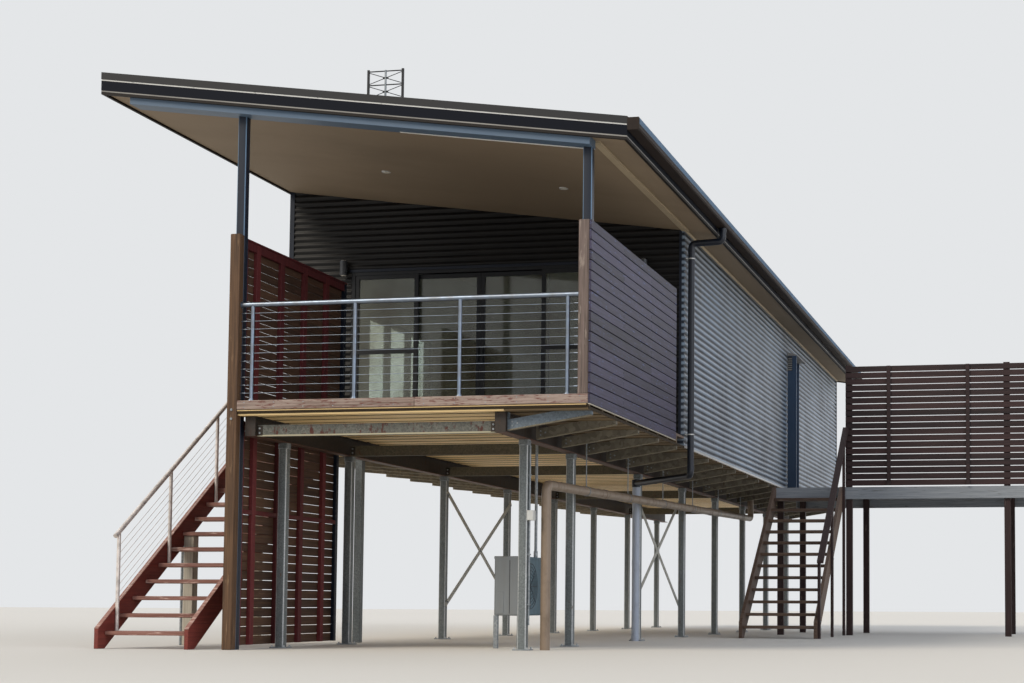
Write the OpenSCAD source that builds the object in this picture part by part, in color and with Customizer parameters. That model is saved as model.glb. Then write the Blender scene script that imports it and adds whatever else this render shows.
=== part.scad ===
/* [House] */
// Width across the front, over the cladding
house_w = 5100; // [4700:50:5600]
// Depth of the covered deck in front of the rooms
deck_d = 4250; // [3900:50:4800]
// Length of the closed rooms behind the deck
house_l = 14100; // [13600:100:16000]
// Height of the floor above the lowest ground
floor_h = 2460; // [2300:20:2700]
// Height of the right wall above the floor
wall_h = 2480; // [2400:20:2700]
// Thickness of the outer walls
wall_t = 150; // [120:10:180]
// Height that the cladding hangs below the floor
skirt_h = 130; // [110:5:140]

/* [Roof] */
// Slope of the roof, rising to the left
roof_slope = 7.7; // [5:0.05:10]
// Thickness of the whole roof at its edges
roof_t = 215; // [200:5:260]
// Width of the eave past the right wall, to the fascia
eave_w = 380; // [300:10:500]
// Width of the gutter
gutter_w = 120; // [100:5:140]
// Height of the gutter
gutter_h = 120; // [100:5:130]
// Depth of the beam below the soffit at the front
front_beam_h = 85; // [70:5:120]

/* [Posts and bearers] */
// Side of the square steel posts
post_s = 90; // [75:5:100]
// Centre of the left row of posts
left_row_x = 1600; // [1580:10:1700]
// Centre of the right row of posts
right_row_x = 4200; // [4100:10:4300]
// Height of the bearers
bearer_h = 200; // [180:10:260]
// Width of the bearers
bearer_w = 110; // [90:5:130]
// Distance between the outriggers
outrigger_pitch = 920; // [900:10:1000]

/* [Deck] */
// Left face of the deck, at the slatted screen
deck_left = 1393; // [1380:1:1420]
// Height of the handrail above the deck
rail_h = 990; // [950:10:1050]
// Height of the side screens above the deck
screen_h = 1675; // [1600:5:1750]
// Length of the boarded right screen
right_screen_l = 3700; // [3500:50:3800]
// Length of the slatted left screens
left_screen_l = 2710; // [2600:10:2800]

/* [Front stair] */
// Number of risers from the ground to the deck
riser_n = 14; // [13:1:15]
// Going of each tread
going = 252; // [240:2:260]
// Left end of the treads
stair_x0 = 95; // [60:5:100]
// Length of the treads
tread_l = 930; // [880:10:960]

/* [Side stair and fence] */
// Drop from the floor to the side landing
landing_drop = 190; // [150:5:200]
// Front edge of the side landing
landing_y = 10600; // [10400:50:10800]
// Depth of the side deck, back from its front edge
side_deck_d = 2500; // [2400:50:2700]
// Width of the side stair, over its stringers
side_stair_w = 1100; // [1000:10:1120]
// Distance between the fence posts
fence_bay = 2400; // [2200:50:2600]
// Height of the fence above the landing
fence_h = 1860; // [1700:10:1900]

/* [Doors and windows] */
// Left side of the glazed door's frame
door_x0 = 840; // [800:10:900]
// Width of the glazed door's frame
door_w = 3340; // [3200:10:3400]
// Height of the glazed door's frame
door_h = 2120; // [2050:10:2160]
// Left wall window, width along the wall
window_w = 2400; // [2000:50:2600]
// Left wall window, height
window_h = 1950; // [1800:50:2000]

/* [Hidden] */
$fn = 32;

// Levels, from the deck down
board_t = 30;
lining_t = 16;
lining_z = floor_h - skirt_h;
bearer_top = lining_z - lining_t;
bearer_z = bearer_top - bearer_h;
bearer_back = 40;
bearer_front = 50;
saddle_edge = 10;
saddle_h = 60;
post_top = bearer_z - saddle_h;

// Roof, in its section across the house
roof_right = house_w + eave_w;
roof_front = -60;
roof_back = deck_d + house_l + 120;
soffit_t = 18;
sheet_t = 42;
fascia_t = 40;
roof_left = -fascia_t;
fascia_drop = 30;
through = 100;
seat = 0.3;
roof_rise = tan(roof_slope);
function soffit_z(x) = floor_h + wall_h + roof_rise * (house_w - x);

// Front posts and beam
timber_w = 105;
timber_d = 95;
steel_y = timber_d + 5;
beam_y0 = roof_front + fascia_t;
beam_y1 = steel_y + post_s;
beam_x0 = 265;
roof_post_in = 7;
screen_top = floor_h + screen_h;

// Rows of posts: the pairs stand at the same distances from the front
house_y1 = deck_d + house_l;
deck_row_y = [880, 2550];
room_row_y = [5600, 8200];
back_rows = 4;
back_in = 750;
back_run = house_y1 - back_in - room_row_y[1];
row_y = concat(deck_row_y, room_row_y, [for (i = [1:back_rows]) room_row_y[1] + back_run * i / back_rows]);
brace_w = 60;
brace_t = 8;
brace_in = 70;
brace_z0 = 450;
brace_drop = 140;
brace_z1 = post_top - brace_drop;

// Outriggers carry the floor past the right row, and the rooms past the left row
outrigger_t = 60;
outrigger_y0 = 150;
outrigger_n = floor((house_y1 - outrigger_y0 - outrigger_t) / outrigger_pitch) + 1;
outrigger_root = 180;
outrigger_tip = 45;
tip_back = 5;

// Cross beams between the bearers
cross_h = 115;
cross_t = 60;
cross_ahead = 110;
cross_y = [outrigger_y0, for (i = [1, 2, 4, 6]) row_y[i] - cross_ahead];

// Deck, with the landing at the head of the front stair
tread_y0 = 60;
landing_y0 = going * (riser_n - 1) + tread_y0;
landing_edge_h = 130;
edge_h = 90;
edge_t = 32;
joist_t = 45;
joist_pitch = 470;
joist_in = 10;

// Balustrade across the front
rail_d = 48;
rail_y = 70;
baluster_d = 38;
baluster_n = 4;
baluster_in = 120;
baluster_x0 = deck_left + timber_w + baluster_in;
baluster_x1 = house_w - timber_w - baluster_in;
wire_d = 5;
wire_n = 11;
wire_pitch = 80;
wire_z0 = floor_h + 80;

// Screens
slat_t = 22;
slat_w = 80;
left_slat_pitch = 90;
lower_slat_pitch = 95;
left_battens = 5;
batten_w = 60;
batten_t = 40;
screen_board_t = 22;
screen_skirt = 95;
lower_short = 130;
lower_screen_l = left_screen_l - lower_short;
lower_z0 = 40;
lower_gap = 24;
lower_rail_z = 1290;
right_batten_pitch = 1200;

// Front stair
rise = floor_h / riser_n;
tread_t = 42;
tread_gap = 12;
tread_d = going - tread_gap;
stringer_t = 45;
stringer_w = 290;
stair_toe = roof_front;
toe_flat = 130;
stringer_over = 30;
head_drop = 60;
head_flat = 100;
stair_x1 = stair_x0 + tread_l;
stair_slope = rise / going;
stair_rail_x = stair_x0 + baluster_d / 2;
stair_post_step = 4;
stair_rail_h = 870;
stair_post_y = 190;
stair_rail_in = 70;
stair_wire_n = 8;
stair_wire_up = 80;
knee_h = 260;
end_post_in = 120;
prop_s = 115;
prop_in = 5;
prop_tread = 7;
prop_back = 20;
landing_post_in = 20;
landing_post_back = 50;

// Side deck, stair and fence
side_deck_t = 35;
side_deck_frame = 150;
side_deck_y1 = landing_y + side_deck_d;
landing_h = floor_h - landing_drop;
fence_x0 = house_w + side_stair_w + 40;
fence_post_s = 95;
fence_n = 2;
fence_x1 = fence_x0 + fence_bay * fence_n + fence_post_s;
fence_slat_pitch = 95;
fence_slat_w = 75;
fence_gap = 20;
fence_batten_t = 30;
house_side_post = 70;
side_riser_n = 13;
side_rise = landing_h / side_riser_n;
side_going = 235;
side_slope = side_rise / side_going;
side_stair_run = side_going * (side_riser_n - 1);
side_rail_h = 900;
side_rail_t = 38;
side_rail_w = 90;
side_baluster_t = 35;
side_foot = landing_y - side_stair_run;
side_toe_y0 = side_foot - 60;
side_toe_flat = 150;
side_toe_up = 50;
side_stringer_h = 300;
side_head_flat = 90;
side_wall_gap = 15;
side_tread_in = 8;
side_tread_back = 2;

// Glazed door on the deck: fixed panels outside, two sliding leaves inside
door_x1 = door_x0 + door_w;
door_mid = (door_x0 + door_x1) / 2;
jamb = 45;
frame_y0 = deck_d + 10;
frame_y1 = deck_d + 130;
fixed_y0 = deck_d + 20;
fixed_y1 = deck_d + 60;
leaf_y0 = deck_d + 72;
leaf_y1 = deck_d + 112;
stile = 50;
leaf_w = 868;
slide_gap = 5;
fixed_w = 830;
mid_rail_z = 1090;
glass_t = 10;
bottom_rail = 90;
roller_d = 24;
roller_lift = 0.3;
handle_up = 950;
handle_z = floor_h + handle_up;
handle_h = 200;
handle_w = 22;
handle_d = 28;
handle_in = 14;
roller_t = 12;
roller_in = 110;
roller_back = 14;
bar_h = 60;
leaf_z0 = floor_h + jamb + slide_gap;
leaf_z1 = floor_h + door_h - jamb - slide_gap;
left_leaf_x = door_mid - slide_gap / 2 - leaf_w;
right_leaf_x = door_mid + slide_gap / 2;

// Window in the left wall
window_y0 = 6500;
window_z0 = floor_h + 50;
window_bar = 50;
window_panes = 3;
pane_w = (window_w - window_bar * (window_panes + 1)) / window_panes;
window_in = 20;
window_back = 30;
window_glass_x = 60;

// Side door in the right wall, behind its hood
side_door_y0 = 12100;
side_door_w = 880;
side_door_h = 2100;
hood_d = 200;
hood_t = 40;
hood_nose = 20;
hood_drop = 100;
side_leaf_in = 55;
side_leaf_t = 45;

// Rainwater: from the gutter down the corner and under the floor
gutter_x0 = roof_right;
gutter_z0 = soffit_z(roof_right) + 75;
gutter_t = 4;
pipe_d = 88;
rain_pipe_d = 96;
rain_gap = 8;
rain_drop = 120;
downpipe_y = deck_d + 75;
rain_y = row_y[2] - post_s / 2 - rain_pipe_d / 2 - rain_gap;
rain_top = bearer_z - rain_drop;
outlet_x = gutter_x0 + gutter_w / 2;
eave_pipe_z = soffit_z(roof_right) - fascia_drop - pipe_d / 2 - 10;
wall_pipe_x = house_w + 60;
clip_z = [floor_h + 0.1 * wall_h, floor_h + 0.77 * wall_h];
clip_w = 100;
clip_d = 40;
clip_h = 25;
elbow_over = 12;
downpipe_route = [[outlet_x, downpipe_y, gutter_z0],
                  [outlet_x, downpipe_y, eave_pipe_z],
                  [wall_pipe_x, downpipe_y, eave_pipe_z - 15],
                  [wall_pipe_x, downpipe_y, rain_top],
                  [right_row_x, rain_y, rain_top]];

// Antenna on the roof
mast_x = 2180;
mast_y = 2000;
mast_h = 830;
mast_d = 32;
antenna_w = 430;
antenna_h = 350;
antenna_bar = 20;
antenna_rods = 4;
antenna_rod_d = 10;
antenna_end = 20;

// Waste pipe on its hangers, beside the right row
waste_d = 100;
waste_gap = 100;
waste_x = right_row_x + post_s / 2 + waste_d / 2 + waste_gap;
waste_y0 = 1000;
waste_y1 = outrigger_y0 + outrigger_t / 2 + outrigger_pitch * 13.5;
waste_z0 = 0.72 * bearer_top;
waste_z1 = 0.82 * bearer_top;
hanger_d = 12;
hanger_n = 6;

// Outdoor unit on its stand
unit_x = 3680;
unit_y = 1500;
unit_size = [300, 900, 620];
unit_z = 340;
unit_leg = 45;
conduit_d = 50;
conduit_x = unit_x + unit_size.x - 50;
conduit_y = unit_y + 0.72 * unit_size.y;

// Centre of the whole object's box, which is moved to the origin
centre_x = (roof_left + fence_x1) / 2;
centre_y = (stair_toe + roof_back) / 2;

module placed() { translate([-centre_x, -centre_y, 0]) children(); }
module box(lo, hi) { translate(lo) cube(hi - lo); }
// An outline drawn in X and Z, run along Y
module along_y(y0, y1) { translate([0, y1, 0]) rotate([90, 0, 0]) linear_extrude(y1 - y0) children(); }
// An outline drawn in Y and Z, run along X
module along_x(x0, x1) { translate([x0, 0, 0]) rotate([90, 0, 90]) linear_extrude(x1 - x0) children(); }
// A layer that follows the roof's slope, between two heights above the soffit line
module roof_layer(x0, x1, y0, y1, low, high) {
    along_y(y0, y1) polygon([[x0, soffit_z(x0) + low], [x1, soffit_z(x1) + low],
                             [x1, soffit_z(x1) + high], [x0, soffit_z(x0) + high]]);
}
// A straight rod or pipe from one point to another
module rod(a, b, d) {
    v = b - a;
    translate(a) rotate([0, acos(v.z / norm(v)), atan2(v.y, v.x)]) cylinder(h = norm(v), d = d);
}
// A pipe through several points, with elbows a little wider than the pipe
module pipe(points, d) {
    for (i = [0:len(points) - 2]) rod(points[i], points[i + 1], d);
    for (i = [1:1:len(points) - 2]) translate(points[i]) sphere(d = d + elbow_over);
}
// A square steel post with the saddle that carries the bearer
module steel_post(x, y) {
    box([x - post_s / 2, y - post_s / 2, 0], [x + post_s / 2, y + post_s / 2, post_top]);
    box([x - bearer_w / 2 - saddle_edge, y - post_s / 2 - saddle_edge, post_top],
        [x + bearer_w / 2 + saddle_edge, y + post_s / 2 + saddle_edge, bearer_z]);
}
// A slatted screen in a plane across X, with upright battens on its right side
module slats_x(x, y0, y1, z0, z1, pitch, battens) {
    for (z = [z0:pitch:z1 - slat_w]) box([x, y0, z], [x + slat_t, y1, z + slat_w]);
    for (i = [0:battens - 1]) {
        y = y0 + (y1 - y0 - batten_w) * i / (battens - 1);
        box([x + slat_t, y, z0], [x + slat_t + batten_t, y + batten_w, z1]);
    }
}
// A flat bracing bar in a plane across X, from one point to another in Y and Z
module brace_x(x, y0, z0, y1, z1) {
    a = atan2(z1 - z0, y1 - y0);
    along_x(x, x + brace_t) translate([y0, z0]) rotate(a) translate([0, -brace_w / 2])
        square([norm([y1 - y0, z1 - z0]), brace_w]);
}
module cross_x(x, y0, y1, z0, z1) {
    brace_x(x, y0, z0, y1, z1);
    brace_x(x, y0, z1, y1, z0);
}

module roof_sheet() {
    color("#6f7377") placed()
        roof_layer(roof_left, roof_right, roof_front, roof_back, roof_t - sheet_t, roof_t);
}
module roof_panel() {
    color("#a39a86") placed() roof_layer(roof_left + fascia_t, roof_right - fascia_t, roof_front + fascia_t,
                                         roof_back - fascia_t, soffit_t, roof_t - sheet_t - seat);
}
module soffit() {
    color("#7a6a50") placed() roof_layer(roof_left + fascia_t, roof_right - fascia_t, roof_front + fascia_t,
                                         roof_back - fascia_t, 0, soffit_t);
}
module roof_fascia() {
    color("#1c2436") placed() difference() {
        roof_layer(roof_left, roof_right, roof_front, roof_back, -fascia_drop, roof_t - sheet_t);
        roof_layer(roof_left + fascia_t, roof_right - fascia_t, roof_front + fascia_t,
                   roof_back - fascia_t, -fascia_drop - through, roof_t + through);
    }
}
module gutter() {
    color("#4a423c") placed() difference() {
        box([gutter_x0, roof_front, gutter_z0], [gutter_x0 + gutter_w, roof_back, gutter_z0 + gutter_h]);
        box([gutter_x0 + gutter_t, roof_front + gutter_t, gutter_z0 + gutter_t],
            [gutter_x0 + gutter_w - gutter_t, roof_back - gutter_t, gutter_z0 + gutter_h + 10]);
    }
}
module downpipe() {
    color("#2a2c33") placed() {
        pipe(downpipe_route, pipe_d);
        for (z = clip_z)
            box([house_w, downpipe_y - clip_w / 2, z],
                [house_w + clip_d, downpipe_y + clip_w / 2, z + clip_h]);
    }
}
module antenna() {
    base = soffit_z(mast_x) + roof_t;
    color("#5a5a58") placed() {
        rod([mast_x, mast_y, base + mast_d / 2 * roof_rise + seat], [mast_x, mast_y, base + mast_h], mast_d);
        for (x = [mast_x - antenna_w / 2, mast_x + antenna_w / 2 - antenna_bar])
            box([x, mast_y - antenna_bar / 2, base + mast_h - antenna_h],
                [x + antenna_bar, mast_y + antenna_bar / 2, base + mast_h]);
        for (i = [0:antenna_rods - 1]) {
            z = base + mast_h - antenna_end - (antenna_h - 2 * antenna_end) * i / (antenna_rods - 1);
            rod([mast_x - antenna_w / 2, mast_y, z], [mast_x + antenna_w / 2, mast_y, z], antenna_rod_d);
        }
    }
}
module front_beam() {
    color("#5d7186") placed() roof_layer(beam_x0, house_w, beam_y0, beam_y1, -front_beam_h, -seat);
}
// A steel post up to the sloping underside of the front beam
module roof_post(x, z0) {
    z1 = function(x) soffit_z(x) - front_beam_h - seat;
    along_y(steel_y, beam_y1) polygon([[x, z0], [x + post_s, z0], [x + post_s, z1(x + post_s)], [x, z1(x)]]);
}
module roof_posts() {
    color("#2b3138") placed() {
        roof_post(deck_left + roof_post_in, 0);
        roof_post(house_w - roof_post_in - post_s, floor_h);
    }
}
module front_left_post() {
    color("#8a6246") placed() box([deck_left, 0, 0], [deck_left + timber_w, timber_d, screen_top]);
}
module front_right_post() {
    color("#8a6246") placed() box([house_w - timber_w, 0, floor_h], [house_w, timber_d, screen_top]);
}
// A piece of the front or back wall, with the roof's slope on its top
module end_wall(x0, x1, y0, z0) {
    along_y(y0, y0 + wall_t) polygon([[x0, z0], [x1, z0], [x1, soffit_z(x1) - seat],
                                     [x0, soffit_z(x0) - seat]]);
}
module front_wall_left() { color("#1d1d1e") placed() end_wall(wall_t, door_x0, deck_d, floor_h); }
module front_wall_right() { color("#1d1d1e") placed() end_wall(door_x1, house_w - wall_t, deck_d, floor_h); }
module front_wall_over() { color("#1d1d1e") placed() end_wall(door_x0, door_x1, deck_d, floor_h + door_h); }
module left_wall() {
    color("#5b6a7c") placed() difference() {
        roof_wall(0, wall_t);
        box([-through, window_y0, window_z0], [wall_t + through, window_y0 + window_w, window_z0 + window_h]);
    }
}
module right_wall() {
    color("#5b6a7c") placed() difference() {
        roof_wall(house_w - wall_t, house_w);
        box([house_w - wall_t - through, side_door_y0, floor_h],
            [house_w + through, side_door_y0 + side_door_w, floor_h + side_door_h]);
    }
}
// A side wall, from the bottom of the cladding up to the soffit
module roof_wall(x0, x1) {
    along_y(deck_d, house_y1) polygon([[x0, lining_z], [x1, lining_z],
                                       [x1, soffit_z(x1) - seat], [x0, soffit_z(x0) - seat]]);
}
module back_wall() {
    color("#5b6a7c") placed() end_wall(wall_t, house_w - wall_t, house_y1 - wall_t, floor_h);
}
module floor_slab() {
    color("#8c8880") placed() box([wall_t, deck_d, lining_z], [house_w - wall_t, house_y1, floor_h]);
}
module floor_lining() {
    color("#b89a6a") placed() {
        box([deck_left + timber_w, edge_t, bearer_top], [house_w, deck_d, lining_z]);
        box([0, landing_y0 + edge_t, bearer_top], [deck_left + timber_w, deck_d, lining_z]);
        box([0, deck_d, bearer_top], [house_w, house_y1, lining_z]);
    }
}
module deck_boards() {
    color("#8f8176") placed() {
        box([deck_left + timber_w, edge_t, floor_h - board_t], [house_w, deck_d, floor_h]);
        box([0, landing_y0 + edge_t, floor_h - board_t], [deck_left + timber_w, deck_d, floor_h]);
    }
}
module deck_joists() {
    color("#6b5a48") placed() {
        for (y = [edge_t + joist_in:joist_pitch:deck_d - joist_t])
            box([deck_left + timber_w + joist_in, y, lining_z], [house_w, y + joist_t, floor_h - board_t]);
        for (x = [joist_in, deck_left - joist_t - joist_in])
            box([x, landing_y0 + edge_t + joist_in, lining_z], [x + joist_t, deck_d, floor_h - board_t]);
    }
}
module deck_edge() {
    color("#b7a39a") placed() {
        box([deck_left + timber_w, 0, floor_h - edge_h], [house_w, edge_t, floor_h]);
        box([0, landing_y0, floor_h - landing_edge_h], [deck_left, landing_y0 + edge_t, floor_h]);
    }
}
module balustrade() {
    x0 = deck_left + timber_w;
    x1 = house_w - timber_w;
    rail_z = floor_h + rail_h - rail_d / 2;
    color("#c8cdd2") placed() {
        for (i = [0:baluster_n - 1])
            translate([baluster_x0 + (baluster_x1 - baluster_x0) * i / (baluster_n - 1), rail_y, floor_h])
            cylinder(h = rail_h - rail_d / 2, d = baluster_d);
        rod([x0, rail_y, rail_z], [x1, rail_y, rail_z], rail_d);
        for (i = [0:wire_n - 1])
            rod([x0, rail_y, wire_z0 + wire_pitch * i], [x1, rail_y, wire_z0 + wire_pitch * i], wire_d);
    }
}
module right_screen() {
    color("#5a4550") placed() {
        box([house_w, 0, floor_h - screen_skirt], [house_w + screen_board_t, right_screen_l, screen_top]);
        for (y = [right_screen_l - batten_w:-right_batten_pitch:timber_d])
            box([house_w - batten_t, y, floor_h], [house_w, y + batten_w, screen_top]);
    }
}
module left_screen() {
    color("#4a1f1c") placed() slats_x(deck_left, beam_y1, left_screen_l, floor_h, screen_top,
                                      left_slat_pitch, left_battens);
}
module lower_screen() {
    color("#6b2f25") placed() {
        slats_x(deck_left, beam_y1, lower_screen_l, lower_z0, bearer_top - lower_gap,
                lower_slat_pitch, left_battens);
        box([deck_left + slat_t, beam_y1, lower_rail_z],
            [deck_left + slat_t + batten_t, lower_screen_l, lower_rail_z + batten_w]);
    }
}
module bearers() {
    color("#35281f") placed() for (x = [left_row_x, right_row_x])
        box([x - bearer_w / 2, outrigger_y0 - bearer_front, bearer_z],
            [x + bearer_w / 2, house_y1 - bearer_back, bearer_top]);
}
// A tapered arm from the bearer's side out to its tip
module outrigger(y, root_x, tip_x) {
    along_y(y, y + outrigger_t) polygon([[root_x, bearer_top - outrigger_root],
        [tip_x, bearer_top - outrigger_tip], [tip_x, bearer_top], [root_x, bearer_top]]);
}
module outriggers() {
    color("#6b6f66") placed() for (i = [0:outrigger_n - 1]) {
        y = outrigger_y0 + outrigger_pitch * i;
        outrigger(y, right_row_x + bearer_w / 2, house_w - tip_back);
        if (y > deck_d) outrigger(y, left_row_x - bearer_w / 2, tip_back);
    }
}
module cross_beams() {
    color("#9a958a") placed() for (y = cross_y)
        box([left_row_x + bearer_w / 2, y, bearer_z],
            [right_row_x - bearer_w / 2, y + cross_t, bearer_z + cross_h]);
}
module left_posts() { color("#5b6672") placed() for (y = row_y) steel_post(left_row_x, y); }
module right_posts() { color("#5b6672") placed() for (y = row_y) steel_post(right_row_x, y); }
module post_bracing() {
    y0 = row_y[2] + post_s / 2 - brace_in;
    y1 = row_y[3] - post_s / 2 + brace_in;
    color("#7c858c") placed() {
        cross_x(left_row_x + post_s / 2, y0, y1, brace_z0, brace_z1);
        cross_x(right_row_x - post_s / 2 - brace_t, y0, y1, brace_z0, brace_z1);
    }
}
// One side of the front stair: closed, with upright cuts at the foot and the head
module stringer(x) {
    y1 = landing_y0;
    toe_top = rise + stringer_over;
    line = toe_top + (y1 - stair_toe) * stair_slope;
    along_x(x, x + stringer_t) polygon([
        [stair_toe, 0], [stair_toe + toe_flat, 0], [y1, line - stringer_w],
        [y1, line - head_drop], [y1 - head_flat, line - head_drop], [stair_toe, toe_top]]);
}
module stair_stringers() {
    color("#7a3b30") placed() {
        stringer(stair_x0 - stringer_t);
        stringer(stair_x1);
    }
}
module stair_treads() {
    color("#8b5a50") placed() for (i = [0:riser_n - 2])
        box([stair_x0, tread_y0 + going * i, rise * (i + 1) - tread_t],
            [stair_x1, tread_y0 + going * i + tread_d, rise * (i + 1)]);
}
function stair_line(y) = (y - tread_y0) * stair_slope + rise;
module stair_rail() {
    y0 = tread_y0 + stair_post_y - stair_rail_in;
    y1 = tread_y0 + stair_post_y + going * (riser_n - 2);
    rail_z = floor_h + rail_h - rail_d / 2;
    color("#c8cdd2") placed() {
        for (i = [0:stair_post_step:riser_n - 2]) {
            y = tread_y0 + stair_post_y + going * i;
            translate([stair_rail_x, y, rise * (i + 1)])
                cylinder(h = stair_line(y) + stair_rail_h - rise * (i + 1), d = baluster_d);
        }
        rod([stair_rail_x, y0, stair_line(y0) + stair_rail_h],
            [stair_rail_x, y1, stair_line(y1) + stair_rail_h], rail_d);
        rod([stair_rail_x, y1, rail_z], [stair_rail_x, deck_d, rail_z], rail_d);
        translate([stair_rail_x, y1, rail_z - knee_h]) cylinder(h = knee_h, d = baluster_d);
        translate([stair_rail_x, deck_d - end_post_in, floor_h])
            cylinder(h = rail_h - rail_d / 2, d = baluster_d);
        for (i = [1:stair_wire_n]) let (up = stair_wire_up + wire_pitch * i)
            rod([stair_rail_x, y0 + stair_rail_in, stair_line(y0 + stair_rail_in) + up],
                [stair_rail_x, y1, stair_line(y1) + up], wire_d);
        for (i = [0:wire_n - 1]) let (z = wire_z0 + wire_pitch * i)
            rod([stair_rail_x, y1, z], [stair_rail_x, deck_d, z], wire_d);
    }
}
module landing_posts() {
    y = landing_y0 + landing_post_back;
    prop_x = stair_x0 + prop_in;
    prop_y = tread_y0 + going * (prop_tread - 1) + prop_back;
    color("#8a7a5c") placed() {
        for (x = [landing_post_in, deck_left - post_s]) box([x, y, 0], [x + post_s, y + post_s, bearer_top]);
        box([prop_x, prop_y, 0], [prop_x + prop_s, prop_y + prop_s, rise * prop_tread - tread_t]);
    }
}
module side_deck() {
    color("#a3968a") placed() {
        box([house_w - tip_back, landing_y, landing_h - side_deck_t], [fence_x1, side_deck_y1, landing_h]);
        for (y = [landing_y, side_deck_y1 - joist_t])
            box([house_w - tip_back, y, landing_h - side_deck_t - side_deck_frame],
                [fence_x1, y + joist_t, landing_h]);
    }
}
module side_posts() {
    y1 = side_deck_y1 - joist_t;
    color("#7a5a42") placed() {
        for (i = [0:fence_n]) {
            x = fence_x0 + fence_bay * i;
            box([x, landing_y + joist_t, 0], [x + fence_post_s, landing_y + joist_t + fence_post_s,
                                              landing_h - side_deck_t]);
            box([x, landing_y, landing_h],
                [x + fence_post_s, landing_y + fence_post_s, landing_h + fence_h + fence_gap]);
            box([x, y1 - fence_post_s, 0], [x + fence_post_s, y1, landing_h - side_deck_t]);
        }
        for (y = [landing_y + joist_t, y1 - fence_post_s])
            box([house_w + house_side_post, y, 0],
                [house_w + house_side_post + fence_post_s, y + fence_post_s, landing_h - side_deck_t]);
    }
}
// Height of the nosing line of the side stair, which falls towards the front
function side_line(y) = landing_h - side_rise + (y - landing_y + side_going) * side_slope;
module side_stringer(x) {
    along_x(x, x + stringer_t) polygon([
        [side_toe_y0, 0], [side_toe_y0 + side_toe_flat, 0], [landing_y, landing_h - side_stringer_h],
        [landing_y, landing_h], [landing_y - side_head_flat, landing_h],
        [side_toe_y0, side_rise + side_toe_up]]);
}
module side_stringers() {
    color("#5a3a2a") placed() {
        side_stringer(house_w + side_wall_gap);
        side_stringer(house_w + side_stair_w - stringer_t);
    }
}
module side_treads() {
    x0 = house_w + side_wall_gap + stringer_t;
    x1 = house_w + side_stair_w - stringer_t;
    color("#6f5a4c") placed() for (i = [1:side_riser_n - 1])
        box([x0, landing_y - side_going * i + side_tread_back, landing_h - side_rise * i - tread_t],
            [x1, landing_y - side_going * (i - 1) - side_tread_in, landing_h - side_rise * i]);
}
module side_rail() {
    x = house_w + side_stair_w;
    y1 = landing_y - slat_t;
    under = function(y) side_line(y) + side_rail_h;
    color("#6a3a2a") placed() {
        for (y = [y1 - post_s, (y1 + side_foot - post_s) / 2, side_foot])
            box([x, y, 0], [x + side_baluster_t, y + post_s, under(y)]);
        along_x(x, x + side_rail_w) polygon([[side_toe_y0, under(side_toe_y0)], [y1, under(y1)],
            [y1, under(y1) + side_rail_t], [side_toe_y0, under(side_toe_y0) + side_rail_t]]);
    }
}
module fence_slats() {
    color("#4a2d24") placed() {
        for (z = [landing_h + fence_gap:fence_slat_pitch:landing_h + fence_h - fence_slat_w])
            box([fence_x0, landing_y - slat_t, z], [fence_x1, landing_y, z + fence_slat_w]);
        for (i = [0:2 * fence_n - 1]) {
            x = fence_x0 + fence_post_s + fence_bay * (i + 0.5) / 2 - batten_w;
            box([x, landing_y - slat_t - fence_batten_t, landing_h + fence_gap],
                [x + batten_w, landing_y - slat_t, landing_h + fence_h]);
        }
    }
}
// A rectangular frame in a plane across Y, with its own rail widths
module frame_y(x0, x1, y0, y1, z0, z1, side, bottom, top) {
    difference() {
        box([x0, y0, z0], [x1, y1, z1]);
        box([x0 + side, y0 - 10, z0 + bottom], [x1 - side, y1 + 10, z1 - top]);
    }
}
module fixed_panel(x0) {
    frame_y(x0, x0 + fixed_w, fixed_y0, fixed_y1, floor_h + jamb, floor_h + door_h - jamb,
            stile, bottom_rail, stile);
    box([x0 + stile, fixed_y0, floor_h + mid_rail_z],
        [x0 + fixed_w - stile, fixed_y1, floor_h + mid_rail_z + bar_h]);
}
module door_frame() {
    color("#1b1d22") placed() {
        frame_y(door_x0, door_x1, frame_y0, frame_y1, floor_h, floor_h + door_h, jamb, jamb, jamb);
        fixed_panel(door_x0 + jamb);
        fixed_panel(door_x1 - jamb - fixed_w);
    }
}
module pane_y(x0, x1, y0, z0, z1) { box([x0, y0 - glass_t / 2, z0], [x1, y0 + glass_t / 2, z1]); }
module door_glass() {
    y = (fixed_y0 + fixed_y1) / 2;
    color("#6f6a55") placed() for (x = [door_x0 + jamb, door_x1 - jamb - fixed_w]) {
        pane_y(x + stile, x + fixed_w - stile, y, floor_h + jamb + bottom_rail, floor_h + mid_rail_z);
        pane_y(x + stile, x + fixed_w - stile, y, floor_h + mid_rail_z + bar_h,
               floor_h + door_h - jamb - stile);
    }
}
module leaf(x0, handle_x) {
    frame_y(x0, x0 + leaf_w, leaf_y0, leaf_y1, leaf_z0, leaf_z1, stile, bottom_rail, stile);
    box([handle_x, leaf_y0 - handle_d, handle_z], [handle_x + handle_w, leaf_y0, handle_z + handle_h]);
    for (x = [x0 + roller_in, x0 + leaf_w - roller_in])
        translate([x, leaf_y0 + roller_back, leaf_z0 - slide_gap + roller_d / 2 + roller_lift])
            rotate([-90, 0, 0]) cylinder(h = roller_t, d = roller_d);
}
module leaf_pane(x0) {
    pane_y(x0 + stile, x0 + leaf_w - stile, (leaf_y0 + leaf_y1) / 2, leaf_z0 + bottom_rail, leaf_z1 - stile);
}
module left_leaf() {
    color("#1b1d22") placed() leaf(left_leaf_x, left_leaf_x + leaf_w - handle_in - handle_w);
}
module left_leaf_glass() { color("#6f6a55") placed() leaf_pane(left_leaf_x); }
module right_leaf() { color("#1b1d22") placed() leaf(right_leaf_x, right_leaf_x + handle_in); }
module right_leaf_glass() { color("#6f6a55") placed() leaf_pane(right_leaf_x); }
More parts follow.
